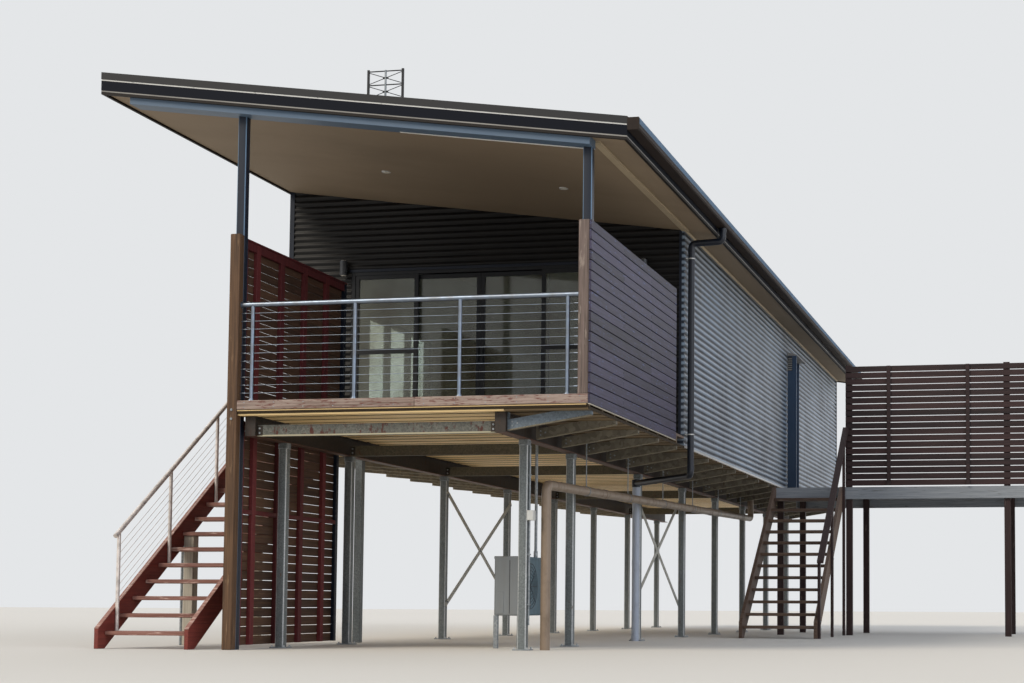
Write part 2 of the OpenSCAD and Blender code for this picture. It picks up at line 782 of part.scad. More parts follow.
module window_frame() {
    color("#1b1d22") placed() difference() {
        box([window_in, window_y0, window_z0],
            [wall_t - window_back, window_y0 + window_w, window_z0 + window_h]);
        for (i = [0:window_panes - 1]) {
            y = window_y0 + window_bar + (pane_w + window_bar) * i;
            box([0, y, window_z0 + window_bar], [wall_t, y + pane_w, window_z0 + window_h - window_bar]);
        }
    }
}
module window_glass() {
    color("#6f6a55") placed() for (i = [0:window_panes - 1]) {
        y = window_y0 + window_bar + (pane_w + window_bar) * i;
        box([window_glass_x, y, window_z0 + window_bar],
            [window_glass_x + glass_t, y + pane_w, window_z0 + window_h - window_bar]);
    }
}
module side_door() {
    color("#2a2c33") placed()
        box([house_w - side_leaf_in - side_leaf_t, side_door_y0, floor_h],
            [house_w - side_leaf_in, side_door_y0 + side_door_w, floor_h + side_door_h]);
}
module side_door_hood() {
    y1 = side_door_y0 + side_door_w;
    top = floor_h + side_door_h;
    color("#39414f") placed() {
        box([house_w, side_door_y0 - hood_t, floor_h - hood_drop],
            [house_w + hood_d, side_door_y0, top + hood_t]);
        box([house_w, y1, floor_h - hood_drop], [house_w + hood_d, y1 + hood_t, top + hood_t]);
        box([house_w, side_door_y0 - hood_t, top], [house_w + hood_d + hood_nose, y1 + hood_t, top + hood_t]);
    }
}
module rain_pipe() {
    color("#8e95b0") placed()
        rod([right_row_x, rain_y, 0], [right_row_x, rain_y, rain_top - pipe_d / 2], rain_pipe_d);
}
module waste_pipe() {
    color("#a08b72") placed() {
        pipe([[waste_x, waste_y0, 0], [waste_x, waste_y0, waste_z0], [waste_x, waste_y1, waste_z1],
              [waste_x, waste_y1, bearer_top]], waste_d);
        for (i = [0:hanger_n - 1]) {
            y = outrigger_y0 + outrigger_t / 2 + outrigger_pitch * (2 * i + 2.5);
            z = waste_z0 + (waste_z1 - waste_z0) * (y - waste_y0) / (waste_y1 - waste_y0);
            rod([waste_x, y, z], [waste_x, y, bearer_top], hanger_d);
        }
    }
}
module outdoor_unit() {
    color("#7d8584") placed() {
        translate([unit_x, unit_y, unit_z]) cube(unit_size);
        for (dx = [0, unit_size.x - unit_leg], dy = [unit_leg, unit_size.y - 2 * unit_leg])
            translate([unit_x + dx, unit_y + dy, 0]) cube([unit_leg, unit_leg, unit_z]);
        rod([conduit_x, conduit_y, unit_z + unit_size.z], [conduit_x, conduit_y, bearer_top], conduit_d);
    }
}

roof_sheet();
roof_panel();
soffit();
roof_fascia();
gutter();
downpipe();
antenna();
front_beam();
roof_posts();
front_left_post();
front_right_post();
front_wall_left();
front_wall_right();
front_wall_over();
left_wall();
right_wall();
back_wall();
floor_slab();
floor_lining();
deck_boards();
deck_joists();
deck_edge();
balustrade();
right_screen();
left_screen();
lower_screen();
bearers();
outriggers();
cross_beams();
left_posts();
right_posts();
post_bracing();
stair_stringers();
stair_treads();
stair_rail();
landing_posts();
side_deck();
side_posts();
side_stringers();
side_treads();
side_rail();
fence_slats();
door_frame();
door_glass();
left_leaf();
left_leaf_glass();
right_leaf();
right_leaf_glass();
window_frame();
window_glass();
side_door();
side_door_hood();
rain_pipe();
waste_pipe();
outdoor_unit();
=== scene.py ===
"""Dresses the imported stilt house: corrugated steel, stained timber, galvanised steel and studio.

Lengths are metres from the house's own corner: X runs right along the front, Y runs back from the
deck's front face, and Z is up from the ground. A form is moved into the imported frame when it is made.
"""
import logging
import math
import random
from collections.abc import Callable
from dataclasses import dataclass
from enum import Enum

import bmesh
import bpy
from mathutils import Matrix, Vector


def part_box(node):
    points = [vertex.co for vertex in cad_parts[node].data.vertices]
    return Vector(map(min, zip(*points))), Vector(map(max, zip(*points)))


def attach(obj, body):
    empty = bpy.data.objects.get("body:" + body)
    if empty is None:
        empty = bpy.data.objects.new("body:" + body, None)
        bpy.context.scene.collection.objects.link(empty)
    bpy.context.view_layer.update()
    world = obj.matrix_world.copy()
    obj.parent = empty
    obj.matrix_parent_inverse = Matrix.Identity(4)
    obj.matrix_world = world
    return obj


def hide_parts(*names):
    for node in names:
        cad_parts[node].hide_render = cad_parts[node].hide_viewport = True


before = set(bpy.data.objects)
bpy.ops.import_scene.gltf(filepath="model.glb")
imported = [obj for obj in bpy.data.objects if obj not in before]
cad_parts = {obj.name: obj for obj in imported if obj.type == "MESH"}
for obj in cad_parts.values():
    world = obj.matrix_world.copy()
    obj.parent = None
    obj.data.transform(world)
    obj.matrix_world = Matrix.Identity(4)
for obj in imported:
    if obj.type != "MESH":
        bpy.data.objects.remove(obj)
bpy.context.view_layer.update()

ORIGIN = Vector((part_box("left_wall")[0].x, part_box("deck_edge")[0].y, 0.0))
LOG = logging.getLogger("stilt_house")
EVEN = 0.5
SIDES = (-1.0, 1.0)
SMOOTH = math.radians(38)
Pair = tuple[float, float]
Point = Pair
Place = tuple | Vector
Mesh = bmesh.types.BMesh
Tree = bpy.types.NodeTree
Node = bpy.types.Node
Socket = bpy.types.NodeSocket


class Axis(Enum):
    """The direction that an outline is extruded along, or that a timber's grain runs in."""

    X = 0
    Y = 1
    Z = 2


def linear(colour: str) -> tuple[float, float, float, float]:
    """Turns an sRGB hex colour to linear light.

    Args:
        colour: six hex digits after a hash.

    Returns:
        Red, green, blue and alpha.
    """
    parts = [int(colour[i:i + 2], 16) / 255 for i in (1, 3, 5)]
    bent = [part / 12.92 if part <= 0.04045 else ((part + 0.055) / 1.055) ** 2.4 for part in parts]
    return (bent[0], bent[1], bent[2], 1.0)


def add(tree: Tree, kind: str, inputs: dict | None = None, **settings) -> Node:
    """Adds a node with its settings, values and links.

    Args:
        tree: the node tree it goes into.
        kind: Blender's name of the node type.
        inputs: values or other nodes' outputs, by the input's name or number.
        settings: properties of the node itself.

    Returns:
        The new node.
    """
    node = tree.nodes.new(kind)
    for name, value in settings.items():
        setattr(node, name, value)
    for key, value in (inputs or {}).items():
        if isinstance(value, Socket):
            tree.links.new(value, node.inputs[key])
        else:
            node.inputs[key].default_value = value
    return node


def clouds(tree: Tree, size: tuple[float, ...] | float, detail: float, seed: float = 0.0) -> Socket:
    """A cloudy pattern on the piece's own coordinates.

    Args:
        tree: the node tree it goes into.
        size: length of one mark in millimetres, or its lengths along X, Y and Z.
        detail: number of finer layers.
        seed: offset that sets one pattern apart from another.

    Returns:
        The pattern's value, from 0 to 1.
    """
    place = add(tree, "ShaderNodeTexCoord")
    lengths = size if isinstance(size, tuple) else (size,) * 3
    scaled = add(tree, "ShaderNodeMapping", {"Vector": place.outputs["Object"],
                                             "Location": (seed,) * 3,
                                             "Scale": tuple(1000 / mm for mm in lengths)})
    noise = add(tree, "ShaderNodeTexNoise", {"Vector": scaled.outputs[0], "Scale": 1.0, "Detail": detail,
                                             "Roughness": 0.6})
    return noise.outputs[0]


def veil(tree: Tree, pattern: Socket, low: float, high: float, under: Socket | str, over: str,
         most: float = 1.0) -> tuple[Socket, Socket]:
    """Lays one colour over another where a pattern rises.

    Args:
        tree: the node tree it goes into.
        pattern: the pattern.
        low: value at which the upper colour begins to show.
        high: value at which it shows most.
        under: lower colour, or a node's output.
        over: upper colour.
        most: its greatest share.

    Returns:
        The mixed colour, and the share of the upper colour.
    """
    share = add(tree, "ShaderNodeMapRange", {"Value": pattern, "From Min": low, "From Max": high,
                                             "To Max": most}).outputs[0]
    base = linear(under) if isinstance(under, str) else under
    colour = add(tree, "ShaderNodeMix", {0: share, 6: base, 7: linear(over)}, data_type="RGBA").outputs[2]
    return colour, share


@dataclass(frozen=True)
class Finish:
    """What a surface is made of. Each kind of finish says how it looks in dress()."""

    name: str

    def material(self) -> bpy.types.Material:
        """Makes the material once, and gives it back each later time."""
        made = bpy.data.materials.get(self.name)
        if made is None:
            made = bpy.data.materials.new(self.name)
            made.use_nodes = True
            tree = made.node_tree
            tree.nodes.clear()
            shader = add(tree, "ShaderNodeBsdfPrincipled")
            add(tree, "ShaderNodeOutputMaterial", {"Surface": shader.outputs[0]})
            self.dress(tree, shader)
        return made

    def dress(self, tree: Tree, shader: Node) -> None:
        """Sets the shader's colour, gloss and bump.

        Args:
            tree: the material's node tree.
            shader: its Principled shader.
        """
        raise NotImplementedError

    def surface(self, tree: Tree, shader: Node, colour: Socket, wear: Socket, rough: Pair,
                height: Socket, depth: float) -> None:
        """Joins a colour, a gloss that fades with wear and a relief to the shader.

        Args:
            tree: the material's node tree.
            shader: its Principled shader.
            colour: its colour.
            wear: pattern of the worn or dirty places.
            rough: roughness where it is clean, and where it is worn.
            height: pattern that raises the surface.
            depth: height of the highest marks in metres.
        """
        gloss = add(tree, "ShaderNodeMapRange", {"Value": wear, "To Min": rough[0], "To Max": rough[1]})
        bump = add(tree, "ShaderNodeBump", {"Height": height, "Distance": depth, "Strength": 0.6})
        for output, name in ((colour, "Base Color"), (gloss.outputs[0], "Roughness"),
                             (bump.outputs[0], "Normal")):
            tree.links.new(output, shader.inputs[name])


@dataclass(frozen=True)
class StainedTimber(Finish):
    """Sawn boards under a stain that has weathered: long grain, boards that differ, and worn patches."""

    dark: str
    light: str
    worn: str
    wear: float
    grain: Axis
    roughness: float = 0.62
    gloss: float = 0.35
    mark: Pair = (240.0, 32.0)

    def dress(self, tree: Tree, shader: Node) -> None:
        """Mixes two stain colours along the grain and by board, then lays the worn patches over them."""
        fibre = tuple(480.0 if axis == self.grain else 15.0 for axis in Axis)
        patch = tuple(self.mark[0] if axis == self.grain else self.mark[1] for axis in Axis)
        grain = clouds(tree, fibre, 5.0)
        board = add(tree, "ShaderNodeAttribute", attribute_name="tone").outputs["Fac"]
        shade = add(tree, "ShaderNodeMath", {0: grain, 1: 3.0, 2: board},
                    operation="MULTIPLY_ADD").outputs[0]
        stain, _ = veil(tree, shade, 1.3, 2.7, self.dark, self.light)
        start = 0.70 - 0.24 * self.wear
        colour, bare = veil(tree, clouds(tree, patch, 4.0, 7.0), start, start + 0.12, stain, self.worn, 0.8)
        shader.inputs["Specular IOR Level"].default_value = self.gloss
        self.surface(tree, shader, colour, bare, (self.roughness, self.roughness + 0.2), grain, 0.0012)


@dataclass(frozen=True)
class CoatedSteel(Finish):
    """Colour-coated sheet steel: an even satin paint, with dust and faint rain streaks over it."""

    colour: str
    dust: str
    dirt: float
    roughness: float
    streak: Axis
    metallic: float = 0.0
    gloss: float = 0.5
    pitch: float = 0.0
    trough_shade: str = "#1b212b"
    trough_shade_share: float = 0.8
    stack: Axis = Axis.Z

    def dress(self, tree: Tree, shader: Node) -> None:
        """Lays dust in clouds and streaks over the paint, and painted shade in each trough of a corrugated
        sheet.
        """
        run = tuple(700.0 if axis == self.streak else 60.0 for axis in Axis)
        streaks = clouds(tree, run, 3.0, 3.0)
        banks = clouds(tree, 900.0, 2.0, 11.0)
        both = add(tree, "ShaderNodeMath", {0: streaks, 1: banks}, operation="MULTIPLY").outputs[0]
        colour, share = veil(tree, both, 0.18, 0.42, self.colour, self.dust, self.dirt)
        if self.pitch:
            # Painted shade: each trough of the corrugation is darkened.
            colour, _ = veil(tree, self.ridges(tree), 0.7, -0.6, colour, self.trough_shade, self.trough_shade_share)
        shader.inputs["Metallic"].default_value = self.metallic
        shader.inputs["Specular IOR Level"].default_value = self.gloss
        self.surface(tree, shader, colour, share, (self.roughness, self.roughness + 0.4),
                     clouds(tree, 18.0, 1.0), 0.0002)

    def ridges(self, tree: Tree) -> Socket:
        """The corrugation's own wave: 1 on each ridge and -1 in each trough."""
        place = add(tree, "ShaderNodeTexCoord").outputs["Object"]
        along = add(tree, "ShaderNodeSeparateXYZ", {0: place}).outputs[self.stack.value]
        start = add(tree, "ShaderNodeMath", {0: along, 1: ORIGIN[self.stack.value]}, operation="SUBTRACT")
        turn = add(tree, "ShaderNodeMath", {0: start.outputs[0], 1: math.tau * 1000 / self.pitch},
                   operation="MULTIPLY")
        return add(tree, "ShaderNodeMath", {0: turn.outputs[0]}, operation="COSINE").outputs[0]


@dataclass(frozen=True)
class GalvanisedSteel(Finish):
    """Hot-dipped steel: dull mottled zinc, with rust breaking through in patches and drips."""

    light: str
    dark: str
    rust: str
    rusted: float
    roughness: float = 0.5
    metallic: float = 0.3
    mottle: float = 25.0

    def dress(self, tree: Tree, shader: Node) -> None:
        """Mixes the zinc's spangle and weathering, and lays rust over it in clouds and drips."""
        place = add(tree, "ShaderNodeTexCoord")
        cells = add(tree, "ShaderNodeTexVoronoi", {"Vector": place.outputs["Object"],
                                                   "Scale": 1000 / self.mottle})
        spangle = add(tree, "ShaderNodeSeparateColor", {0: cells.outputs["Color"]}).outputs[0]
        weather = clouds(tree, (220.0, 220.0, 420.0), 5.0, 5.0)
        shade = add(tree, "ShaderNodeMath", {0: spangle, 1: weather, 2: 0.5},
                    operation="MULTIPLY_ADD").outputs[0]
        zinc, _ = veil(tree, shade, 0.5, 1.1, self.dark, self.light)
        patches = clouds(tree, (60.0, 60.0, 130.0), 6.0, 21.0)
        start = 0.68 - 0.3 * self.rusted
        colour, rusty = veil(tree, patches, start, start + 0.08, zinc, self.rust, 0.9)
        metal = add(tree, "ShaderNodeMapRange", {"Value": rusty, "To Min": self.metallic, "To Max": 0.0})
        tree.links.new(metal.outputs[0], shader.inputs["Metallic"])
        self.surface(tree, shader, colour, rusty, (self.roughness, 0.85), patches, 0.0006)


@dataclass(frozen=True)
class BrushedStainless(Finish):
    """Brushed stainless tube: satin metal, duller where water and hands have been."""

    colour: str
    metallic: float = 1.0

    def dress(self, tree: Tree, shader: Node) -> None:
        """Keeps the metal bright and lets water marks and handling change its gloss."""
        marks = clouds(tree, 90.0, 3.0, 9.0)
        colour, _ = veil(tree, marks, 0.4, 0.7, self.colour, "#6f6a64", 0.5)
        shader.inputs["Metallic"].default_value = self.metallic
        self.surface(tree, shader, colour, marks, (0.3, 0.5), marks, 0.0001)


@dataclass(frozen=True)
class PaintedBoard(Finish):
    """Painted fibre-cement sheet: flat and nearly even, with faint roller marks and stains."""

    colour: str
    stain: str
    roughness: float = 0.78

    def dress(self, tree: Tree, shader: Node) -> None:
        """Lays faint stains over the paint, and a fine roller texture in its relief."""
        marks = clouds(tree, (1400.0, 900.0, 900.0), 4.0, 2.0)
        colour, stains = veil(tree, marks, 0.45, 0.8, self.colour, self.stain, 0.5)
        self.surface(tree, shader, colour, stains, (self.roughness, self.roughness + 0.1),
                     clouds(tree, 9.0, 2.0), 0.0004)


@dataclass(frozen=True)
class PipePlastic(Finish):
    """Extruded PVC: smooth and slightly glossy, chalked by the sun and splashed with mud."""

    colour: str
    mud: str
    splash: float

    def dress(self, tree: Tree, shader: Node) -> None:
        """Lays splashes over the plastic and dulls it there."""
        spots = clouds(tree, (120.0, 120.0, 200.0), 5.0, 4.0)
        colour, splashes = veil(tree, spots, 0.5, 0.75, self.colour, self.mud, self.splash)
        self.surface(tree, shader, colour, splashes, (0.38, 0.9), clouds(tree, 30.0, 2.0), 0.0002)


@dataclass(frozen=True)
class TintedGlass(Finish):
    """Float glass with a grey-brown tint: clear enough to see a dark room, and glossy outside."""

    colour: str
    film: str
    clear: float

    def dress(self, tree: Tree, shader: Node) -> None:
        """Lets part of the light through, and lays a thin uneven film of dust on the glass."""
        film = clouds(tree, (600.0, 600.0, 900.0), 3.0, 6.0)
        colour, dust = veil(tree, film, 0.35, 0.75, self.colour, self.film)
        shader.inputs["Transmission Weight"].default_value = self.clear
        shader.inputs["IOR"].default_value = 1.5
        self.surface(tree, shader, colour, dust, (0.02, 0.08), film, 0.00002)


# The roof's pale weathered sheet: grey with dust washed along the slope, and painted shade in each trough
ROOF_STEEL = CoatedSteel("Roof_coated_steel", "#6a6e72", "#7f7a70", 0.3, 0.45, Axis.X,
                         pitch=76.0, trough_shade="#3b3d40", trough_shade_share=0.6, stack=Axis.Y)
# Folded capping: dark brown-grey satin paint, a little dusty
CAPPING_STEEL = CoatedSteel("Capping_coated_steel", "#242528", "#3d3a38", 0.2, 0.5, Axis.X, gloss=0.3)
# Fascia: navy paint that stays dark, with a weak sheen
FASCIA_STEEL = CoatedSteel("Fascia_coated_steel", "#060b17", "#141a27", 0.1, 0.5, Axis.X, gloss=0.12)
# Bare zinc flashing: a thin bright line under the capping
FLASHING_STEEL = CoatedSteel("Flashing_zinc_steel", "#c6c6c4", "#8c8c88", 0.25, 0.35, Axis.X, 0.3)
# The lower edge's zinc strip: the same metal, duller
STRIP_STEEL = CoatedSteel("Strip_dull_zinc_steel", "#8e8c88", "#5f5d59", 0.4, 0.5, Axis.X, 0.2)
# Dark lip under the strip: it closes the edge with a shadow-like line
LIP_STEEL = CoatedSteel("Lip_dark_coated_steel", "#231f1d", "#3a342f", 0.3, 0.6, Axis.X, gloss=0.2)
# Gutter's outer face: light blue-grey, a painted reflection of the sky
GUTTER_SKY_REFLECTION = CoatedSteel("Gutter_coated_steel", "#5c7690", "#5f5850", 0.3, 0.6, Axis.Y, gloss=0.15)
# Gutter inside and under: brown, matt with dust
GUTTER_INSIDE = CoatedSteel("Gutter_brown_steel", "#2b2421", "#4a3f37", 0.3, 0.6, Axis.Y, gloss=0.15)
# Soffit sheets: matt warm beige, faintly stained
SOFFIT_PAINT = PaintedBoard("Soffit_painted_board", "#8f7e68", "#776956")
# Cove strips: the same beige, lighter, where the soffit meets the wall line
COVE_PAINT = PaintedBoard("Cove_painted_timber", "#b9a98d", "#8f8069", 0.6)
# Front beam: even blue-grey paint
BEAM_STEEL = CoatedSteel("Beam_coated_steel", "#56697e", "#75818c", 0.25, 0.45, Axis.X, gloss=0.3)
# Beam's lower back edge: a thin white line, a painted highlight
BEAM_WHITE_HIGHLIGHT = PaintedBoard("Beam_edge_painted_highlight", "#f0efe9", "#d8d4ca", 0.5)
# Posts of the deck's roof: dark blue-grey, smooth, with a painted highlight on each arris
DARK_STEEL = CoatedSteel("Post_dark_coated_steel", "#1a212e", "#343b46", 0.2, 0.35, Axis.Z, gloss=0.35)
# Arrises of those posts: blue-grey lines, a painted highlight
ROOF_POST_HIGHLIGHT = CoatedSteel("Post_blue_arris_painted_highlight", "#5f7c98", "#7d8790", 0.2, 0.35, Axis.Z)
# Corrugated wall over the deck: nearly black, with faint ridges and painted shade in each trough
CLADDING_FRONT = CoatedSteel("Front_corrugated_steel", "#1a1a1b", "#2f2c27", 0.3, 0.45, Axis.X, gloss=0.25,
                             pitch=76.0, trough_shade="#060607", trough_shade_share=0.8)
# Corrugated side walls: pale blue-grey paint with a dusty bloom, and painted shade, nearly black, in each
# trough
CLADDING_SIDE = CoatedSteel("Side_corrugated_steel", "#8597aa", "#a59d92", 0.5, 0.4, Axis.Z, 0.1,
                            pitch=76.0, trough_shade="#121a27", trough_shade_share=0.96)
# Corner trims: navy paint
TRIM_STEEL = CoatedSteel("Trim_navy_steel", "#101826", "#283142", 0.2, 0.4, Axis.Z, gloss=0.3)
# Lining of the rooms: off-white matt board
LINING_BOARD = PaintedBoard("Inner_lining_board", "#a8a090", "#8c8474")
# Door and window frames: black powder coat, nearly matt
DOOR_ALUMINIUM = CoatedSteel("Door_powder_coated_aluminium", "#0f1115", "#2a2c2e", 0.25, 0.4, Axis.Z,
                             gloss=0.3)
# Door glass: olive-grey tint with a film of dust
GLASS = TintedGlass("Door_tinted_glass", "#b3b9a9", "#8b866c", 0.8)
# Window glass in the side wall: clear, so that the pale sky shows through the rooms
WINDOW_GLASS = TintedGlass("Window_clear_glass", "#e6ecec", "#c9d2d2", 0.95)
# Lamp tubes: dark anodised metal
LAMP_METAL = CoatedSteel("Lamp_dark_metal", "#3a3d42", "#56534f", 0.3, 0.35, Axis.Z, 0.3)
# Lamp lenses: frosted, glossy white
LAMP_GLASS = PaintedBoard("Lamp_frosted_glass", "#e6e2d6", "#cfcabc", 0.3)
# Right screen: red-brown stained boards, each its own shade, with the sky's blue sheen painted in as a
# blue-purple cast and blue-grey patches
SCREEN_STAIN_AND_SHEEN = StainedTimber("Screen_boards_stain_and_painted_sheen", "#211e2b", "#423d56", "#6777a4", 0.42, Axis.Y, 0.5,
                              mark=(110.0, 18.0))
# Left slats: brown stain, each board its own shade
SLAT_TIMBER = StainedTimber("Slat_stained_timber", "#3a281d", "#5d4331", "#7c604c", 0.25, Axis.Y)
# Battens of the left screens: dark red stain
BATTEN_TIMBER = StainedTimber("Batten_stained_timber", "#47191b", "#6a2a2b", "#834541", 0.15, Axis.Z)
# Left deck post: brown sawn hardwood with long checks
POST_TIMBER = StainedTimber("Post_weathered_timber", "#3a281b", "#6d5139", "#8a7056", 0.4, Axis.Z)
# Right deck post: the same wood, greyed by the sun
POST_PALE = StainedTimber("Right_post_weathered_timber", "#463c36", "#80706a", "#a3968c", 0.4, Axis.Z)
# Deck boards: grey-brown with pale footworn streaks
DECK_TIMBER = StainedTimber("Deck_weathered_boards", "#5d4f47", "#7f6f64", "#9a8f86", 0.5, Axis.Y)
# Deck edge: pink-grey old paint with short red-brown flakes
EDGE_TIMBER = StainedTimber("Deck_edge_flaking_timber", "#665349", "#ad9b91", "#63302a", 0.72, Axis.X,
                            mark=(80.0, 14.0))
# Joists: sawn softwood, seldom lit
JOIST_TIMBER = StainedTimber("Joist_sawn_timber", "#5a4a38", "#7c674e", "#8f7f6a", 0.3, Axis.X)
# Front stair's sides: deep red-brown stain
STRINGER_TIMBER = StainedTimber("Stringer_stained_timber", "#5c2520", "#833b31", "#9c6655", 0.2, Axis.Y)
# Treads: the same stain, worn pink on the nosing
TREAD_TIMBER = StainedTimber("Tread_stained_timber", "#744c42", "#a67c70", "#dcc0b4", 0.65, Axis.X)
# Props: treated pine gone grey, paler than the rest
PROP_TIMBER = StainedTimber("Prop_treated_pine", "#979081", "#c6bfb1", "#7d7265", 0.25, Axis.Z)
# Side stair: dark grey-brown sawn boards
SIDE_TIMBER = StainedTimber("Side_weathered_timber", "#4b3a30", "#6e5a4c", "#8a7c70", 0.35, Axis.X)
# Side deck: boards weathered silver-grey
SIDE_DECK_TIMBER = StainedTimber("Side_deck_grey_timber", "#6f757c", "#979ca2", "#5d5c5c", 0.4, Axis.X)
# Fence: very dark red-brown stain
FENCE_TIMBER = StainedTimber("Fence_stained_timber", "#1d1315", "#3a2626", "#564540", 0.25, Axis.X)
# Fence and rail posts: the same stain on upright timber
SIDE_POST_TIMBER = StainedTimber("Side_post_stained_timber", "#2b1c1c", "#46312e", "#776b66", 0.3, Axis.Z)
# Square posts: smooth grey zinc with hardly any rust
POST_STEEL = GalvanisedSteel("Post_galvanised_steel", "#7f8586", "#5f6566", "#6a4c38", 0.03, 0.45, 0.2, 9.0)
# Rounded arrises of the posts: bright zinc, a painted highlight
ZINC_ARRIS_HIGHLIGHT = GalvanisedSteel("Post_zinc_arris_painted_highlight", "#c6c9ca", "#a4a8a9", "#6a4c38", 0.03, 0.4, 0.2, 9.0)
# Bracing flats: pale grey zinc
BRACE_STEEL = GalvanisedSteel("Brace_galvanised_steel", "#c4c2b8", "#a3a298", "#6b4a34", 0.12)
# Cross beams: olive-grey paint, finely mottled, with rust drips
CROSS_STEEL = GalvanisedSteel("Cross_beam_weathered_steel", "#6f6f68", "#4c4d48", "#4c2018", 0.5, 0.6, 0.1,
                              14.0)
# The other cross beams: olive-brown and dull
CROSS_DARK = GalvanisedSteel("Cross_beam_olive_steel", "#625b4a", "#4a4538", "#5f4030", 0.2, 0.65, 0.0,
                             14.0)
# First cross beam's lower lip: bright cream where the light catches it
LIP_BRIGHT = CoatedSteel("Cross_beam_bright_lip", "#a8a28a", "#78725c", 0.3, 0.5, Axis.X)
# Raking arms: brown-grey weathered zinc
OUTRIGGER_STEEL = GalvanisedSteel("Outrigger_galvanised_steel", "#7c7567", "#5a5549", "#4d3a2b", 0.1, 0.6,
                                  0.1, 45.0)
# Lower lips of the arms: the same zinc, painted brighter as a highlight
ARM_SOLE_HIGHLIGHT = GalvanisedSteel("Outrigger_lip_painted_highlight", "#91876f", "#6c6555", "#5d4835", 0.15, 0.5, 0.2, 18.0)
# The first arm: the same zinc with a blue cast
ARM_BLUE = GalvanisedSteel("Outrigger_blue_zinc", "#74808a", "#5c6770", "#5d4835", 0.1, 0.5, 0.2, 18.0)
# Bearers: dark brown primer, dull
BEARER_STEEL = GalvanisedSteel("Bearer_primed_steel", "#32271f", "#231b15", "#3f281c", 0.25, 0.65, 0.0)
# Bearers' lower flanges: primer gone redder
FLANGE_STEEL = GalvanisedSteel("Bearer_red_flange", "#5a3c2e", "#432c21", "#6a4029", 0.3, 0.6, 0.0)
# Lining under the floor: sand-coloured steel, painted brighter than its real cream to stand for sunlight,
# dusty in clouds
LINING_STEEL = CoatedSteel("Floor_lining_coated_steel", "#f2d298", "#a98f66", 0.4, 0.5, Axis.X)
# The lining outside the right bearer: brown, a painted shade
LINING_PAINTED_SHADE = CoatedSteel("Floor_lining_dirty_steel", "#6e5c41", "#4b3f2f", 0.6, 0.6, Axis.X, gloss=0.3)
# Grooves of the lining's ribs: painted shade, dark so that they read as thin lines
RIB_PAINTED_SHADE = CoatedSteel("Floor_lining_rib_shadow", "#2e2519", "#4a3d2b", 0.3, 0.7, Axis.X, gloss=0.2)
# Floor sheets inside: plain brown board
SLAB_BOARD = PaintedBoard("Floor_board", "#7c6f60", "#5f5548")
# Balustrade's rail, posts and wires: satin blue-grey metal
STAINLESS = BrushedStainless("Rail_brushed_stainless", "#8490a0")
# Stair rail: the same steel, painted pale and warm as a sunlit highlight, so that it hardly mirrors the dark
# house
STAIR_RAIL_HIGHLIGHT = BrushedStainless("Stair_rail_painted_warm_highlight", "#eae0d9", 0.4)
# Bolts, straps and rods: clean bright zinc
GALVANISED_ROD = GalvanisedSteel("Fixing_galvanised_steel", "#a3a8ab", "#7c8388", "#6b4a34", 0.05)
# Downpipe: black-blue glossy paint
DOWNPIPE_STEEL = CoatedSteel("Downpipe_coated_steel", "#131924", "#333a47", 0.2, 0.3, Axis.Z, gloss=0.4)
# Hood of the side door: mid blue-grey gloss
HOOD_STEEL = CoatedSteel("Hood_coated_steel", "#33475f", "#4a5668", 0.3, 0.4, Axis.Z, gloss=0.35)
# Side door: near-black paint on timber
SIDE_DOOR_PAINT = CoatedSteel("Side_door_painted_timber", "#2a2c33", "#4a4843", 0.3, 0.5, Axis.Z)
# Rain pipe: pale blue-grey plastic
RAIN_PLASTIC = PipePlastic("Rain_pipe_plastic", "#a6afbe", "#7c7884", 0.3)
# Waste pipe: beige plastic, splashed with mud
WASTE_PLASTIC = PipePlastic("Waste_pipe_plastic", "#887766", "#584838", 0.5)
# Outdoor unit's case: grey-green painted steel, dusty
UNIT_PAINT = CoatedSteel("Unit_coated_steel", "#82878a", "#6b6458", 0.3, 0.45, Axis.Z)
# The unit's right-facing side: darker blue-green steel
UNIT_SIDE = CoatedSteel("Unit_blue_green_steel", "#48626e", "#5a5f5c", 0.35, 0.4, Axis.Z)
# Its grilles: near black
UNIT_DARK = CoatedSteel("Unit_dark_grille", "#22262b", "#4a4640", 0.3, 0.5, Axis.Z)
# Junction boxes: white plastic, yellowed
BOX_PLASTIC = PipePlastic("Junction_box_plastic", "#d5d6d2", "#8a8478", 0.4)
# Aerial: dark anodised rods
AERIAL_METAL = CoatedSteel("Aerial_dark_aluminium", "#0d1016", "#2a2c30", 0.2, 0.4, Axis.Z, 0.3)


def eased(piece: Mesh, edge: float) -> Mesh:
    """Eases all the edges of a piece by a width."""
    bmesh.ops.bevel(piece, geom=piece.edges[:], offset=edge, offset_type="OFFSET", segments=1, profile=0.5,
                    affect="EDGES", material=-1)
    return piece


def block(low: Place, high: Place, edge: float = 0.003) -> Mesh:
    """A board, plate or block with its edges eased.

    Args:
        low: its lowest corner.
        high: its highest corner.
        edge: width of the eased edge, or 0 to leave it sharp.

    Returns:
        The piece.
    """
    piece = bmesh.new()
    size = Vector(high) - Vector(low)
    middle = (Vector(high) + Vector(low)) / 2
    bmesh.ops.create_cube(piece, size=1.0,
                          matrix=Matrix.Translation(middle) @ Matrix.Diagonal((*size, 1.0)))
    return eased(piece, edge) if edge else piece


